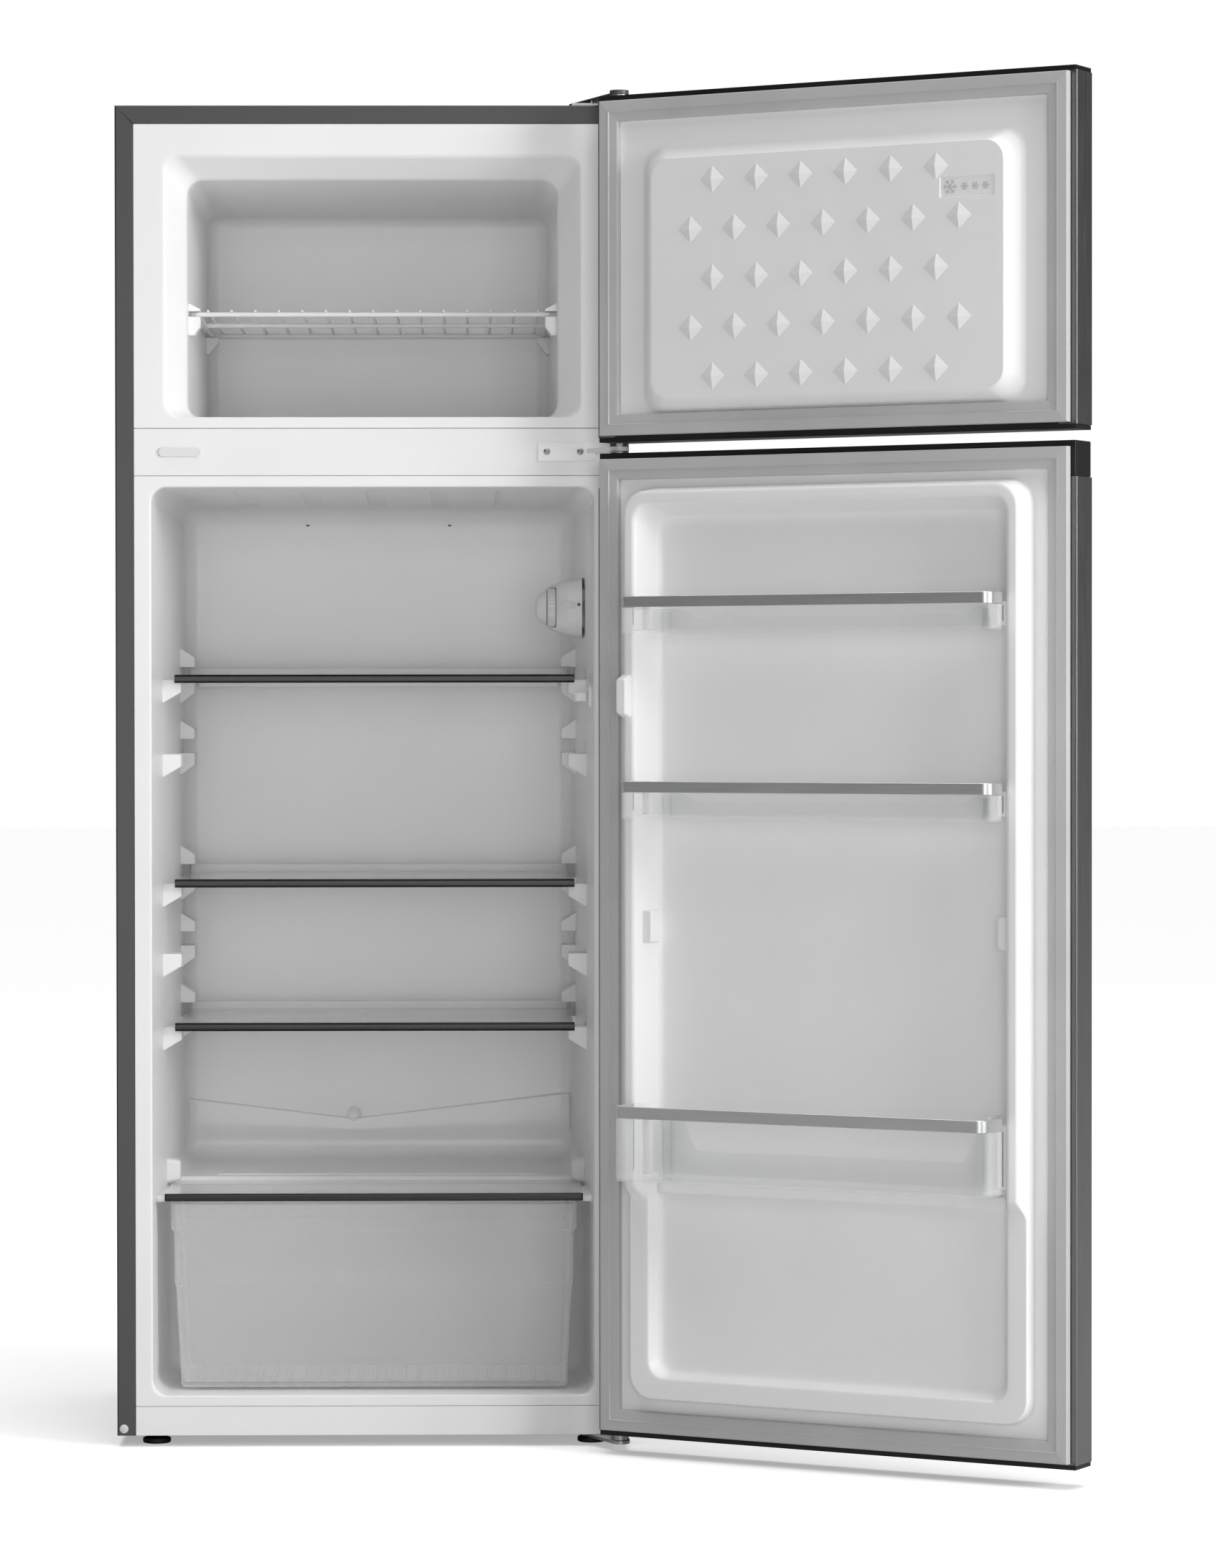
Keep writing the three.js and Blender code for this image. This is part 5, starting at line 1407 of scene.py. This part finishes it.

# bins: clear trays that are narrower between the dike's walls, scooped out at the back, with
# ribs inside, thin dark strips of painted shade where the clear sides are seen on edge, and a
# brushed front strip
for name, front, strip in BINS:
    body = f"bin_{name}"
    z0, z1 = spans[name]
    narrow = rim + 17.5
    wide_u = rim + 2
    corners = [
        (narrow, 6.2), (DOOR_WIDTH - narrow, 6.2), (DOOR_WIDTH - narrow, DIKE + 3.4),
        (DOOR_WIDTH - wide_u, DIKE + 3.4), (DOOR_WIDTH - wide_u, front - 0.1),
        (wide_u, front - 0.1), (wide_u, DIKE + 3.4), (narrow, DIKE + 3.4),
    ]
    radii = (6, 6, 2, 5, 9, 9, 5, 2)
    depth = 0.6 if name == "lower" else 0.42

    def scooped(u, n, depth=depth):
        """Share of the back's height cut away between its two sloping ends."""
        across = smooth((u - 100) / 22) * smooth((DOOR_WIDTH - 100 - u) / 22)
        return depth * across * (n < 16)

    box = tray(standing, corners, radii, z0, z1 - strip - 0.4, BIN_WALL, 2.2, 3.0, 0.6,
               scooped)
    upright = outline(corners, radii, 0.2)
    share = len(upright) // 8
    side_left = ribbon(standing, upright[7 * share - 6:], 1.9, z1 - strip - 1.5, z1, 0.6)
    side_right = ribbon(standing, upright[share:3 * share + 6], 1.9, z1 - strip - 1.5, z1, 0.6)
    inner_ribs = [
        slab(standing, (u - 0.9, u + 0.9), (8, 26), (z0 + 2, z1 - strip - 4), 0.5, 0.5)
        for u in (narrow + 12, DOOR_WIDTH - narrow - 12)
    ]
    piece(
        f"bin_tray_{name}", body, clear_plastic,
        gathered([box, side_left, side_right, *inner_ribs]),
        replaces=[f"bin_{name}"], sharp=35,
    )
    # thin dark strips on the bins' front corners: painted shade where the clear sides are seen on
    # edge
    piece(
        f"bin_painted_side_edges_{name}", body, painted_bin_edge_shade,
        gathered([
            slab(standing, (u - 0.5, u + 0.5), (DIKE + 4.2, DIKE + 5), (z0 + 9, z1 - strip - 1.5),
                 0.3, 0.2) for u in (wide_u - 0.1, DOOR_WIDTH - wide_u + 0.1)
        ]),
    )
    wrap_path = upright[3 * share + 3: 7 * share - 3]
    front_face = wrap_path - 0.75 * normals(wrap_path)
    piece(
        f"bin_strip_{name}", body, strip_steel,
        ribbon(standing, front_face, 1.2, z1 - strip, z1, 0.4),
        replaces=[f"bin_trim_{name}"], sharp=35,
    )

# ------------------------------------------------------------------ floor, light, camera

def seen_by_eye(tree, socket, lit, seen):
    """Gives a colour socket one colour as it lights the room and another as it is seen."""
    ray = tree.nodes.new("ShaderNodeLightPath")
    mix = tree.nodes.new("ShaderNodeMix")
    mix.data_type = "RGBA"
    mix.inputs["A"].default_value = lit
    mix.inputs["B"].default_value = seen
    tree.links.new(ray.outputs["Is Camera Ray"], mix.inputs["Factor"])
    tree.links.new(mix.outputs["Result"], socket)


def studio(name, seen, lit):
    """A white world: one strength as it is seen, another as it lights the room."""
    world = bpy.data.worlds.new(name)
    world.use_nodes = True
    colour = world.node_tree.nodes["Background"].inputs["Color"]
    seen_by_eye(world.node_tree, colour, (lit, lit, lit, 1), (seen, seen, seen, 1))
    return world


def softbox(name, place, target, size, power):
    """A rectangular area light at a place, turned towards a target."""
    data = bpy.data.lights.new(name, "AREA")
    data.shape = "RECTANGLE"
    data.size, data.size_y = size
    data.energy = power
    lamp = bpy.data.objects.new(name, data)
    lamp.location = place
    aim = Vector(target) - Vector(place)
    lamp.rotation_euler = aim.to_track_quat("-Z", "Y").to_euler()
    bpy.context.collection.objects.link(lamp)
    return lamp


MIDDLE = (0, 0, 0.8)
LAMP_DISTANCE = 5.5
PANEL = (2.4, 2.0)


def bearing(side, rise):
    """A lamp's place, `side` degrees to the right of the front and `rise` degrees above the
    object's middle."""
    side, rise = math.radians(side), math.radians(rise)
    level_distance = LAMP_DISTANCE * math.cos(rise)
    return (level_distance * math.sin(side), -level_distance * math.cos(side),
            MIDDLE[2] + LAMP_DISTANCE * math.sin(rise))


scene = bpy.context.scene
scene.view_settings.view_transform = "Standard"
scene.world = studio("studio", 1.0, 0.03)

FLOOR_REACH = 30
floor_line = np.linspace(-FLOOR_REACH, FLOOR_REACH, 61)
floor_grid = np.stack(np.meshgrid(floor_line, floor_line), -1)
floor_points = np.concatenate([floor_grid, np.zeros((*floor_grid.shape[:2], 1))], -1)
floor_mesh = bpy.data.meshes.new("studio_floor")
points, faces = facing(sheet(floor_points), (0, 0, 1))
floor_mesh.from_pydata(points.tolist(), [], faces[0].tolist())
floor_look, floor_tree, floor_shader = finish(
    "floor_white", (0.97, 0.97, 0.97), 0.9, Specular_IOR_Level=0.2,
)
seen_by_eye(floor_tree, floor_shader.inputs["Base Color"], (0.6, 0.6, 0.6, 1), (1, 1, 1, 1))
seen_by_eye(floor_tree, floor_shader.inputs["Emission Color"], (0, 0, 0, 1), (0.36, 0.36, 0.36, 1))
floor_shader.inputs["Emission Strength"].default_value = 1
floor_mesh.materials.append(floor_look)
studio_floor = bpy.data.objects.new("studio_floor", floor_mesh)
bpy.context.collection.objects.link(studio_floor)

softbox("key_light", bearing(55, 12), MIDDLE, PANEL, 186)
softbox("fill_light", bearing(0, 2), MIDDLE, PANEL, 55)
softbox("high_light", bearing(20, 45), MIDDLE, PANEL, 42)
overhead = bpy.data.lights.new("overhead", "SUN")
overhead.energy = 1.9
overhead.angle = math.radians(50)
overhead_lamp = bpy.data.objects.new("overhead", overhead)
bpy.context.collection.objects.link(overhead_lamp)

# a long lens a little to the right of the cabinet's middle, just above half its height
camera_data = bpy.data.cameras.new("camera")
camera_data.lens = 119.34
camera_data.sensor_width = 36
camera_data.shift_x = 0.053
camera_data.clip_end = 100
camera = bpy.data.objects.new("camera", camera_data)
camera.location = cab(104, -5520, 778.5)
camera.rotation_euler = (math.radians(90 - 0.77), math.radians(0.07), math.radians(-0.6))
bpy.context.collection.objects.link(camera)
scene.camera = camera
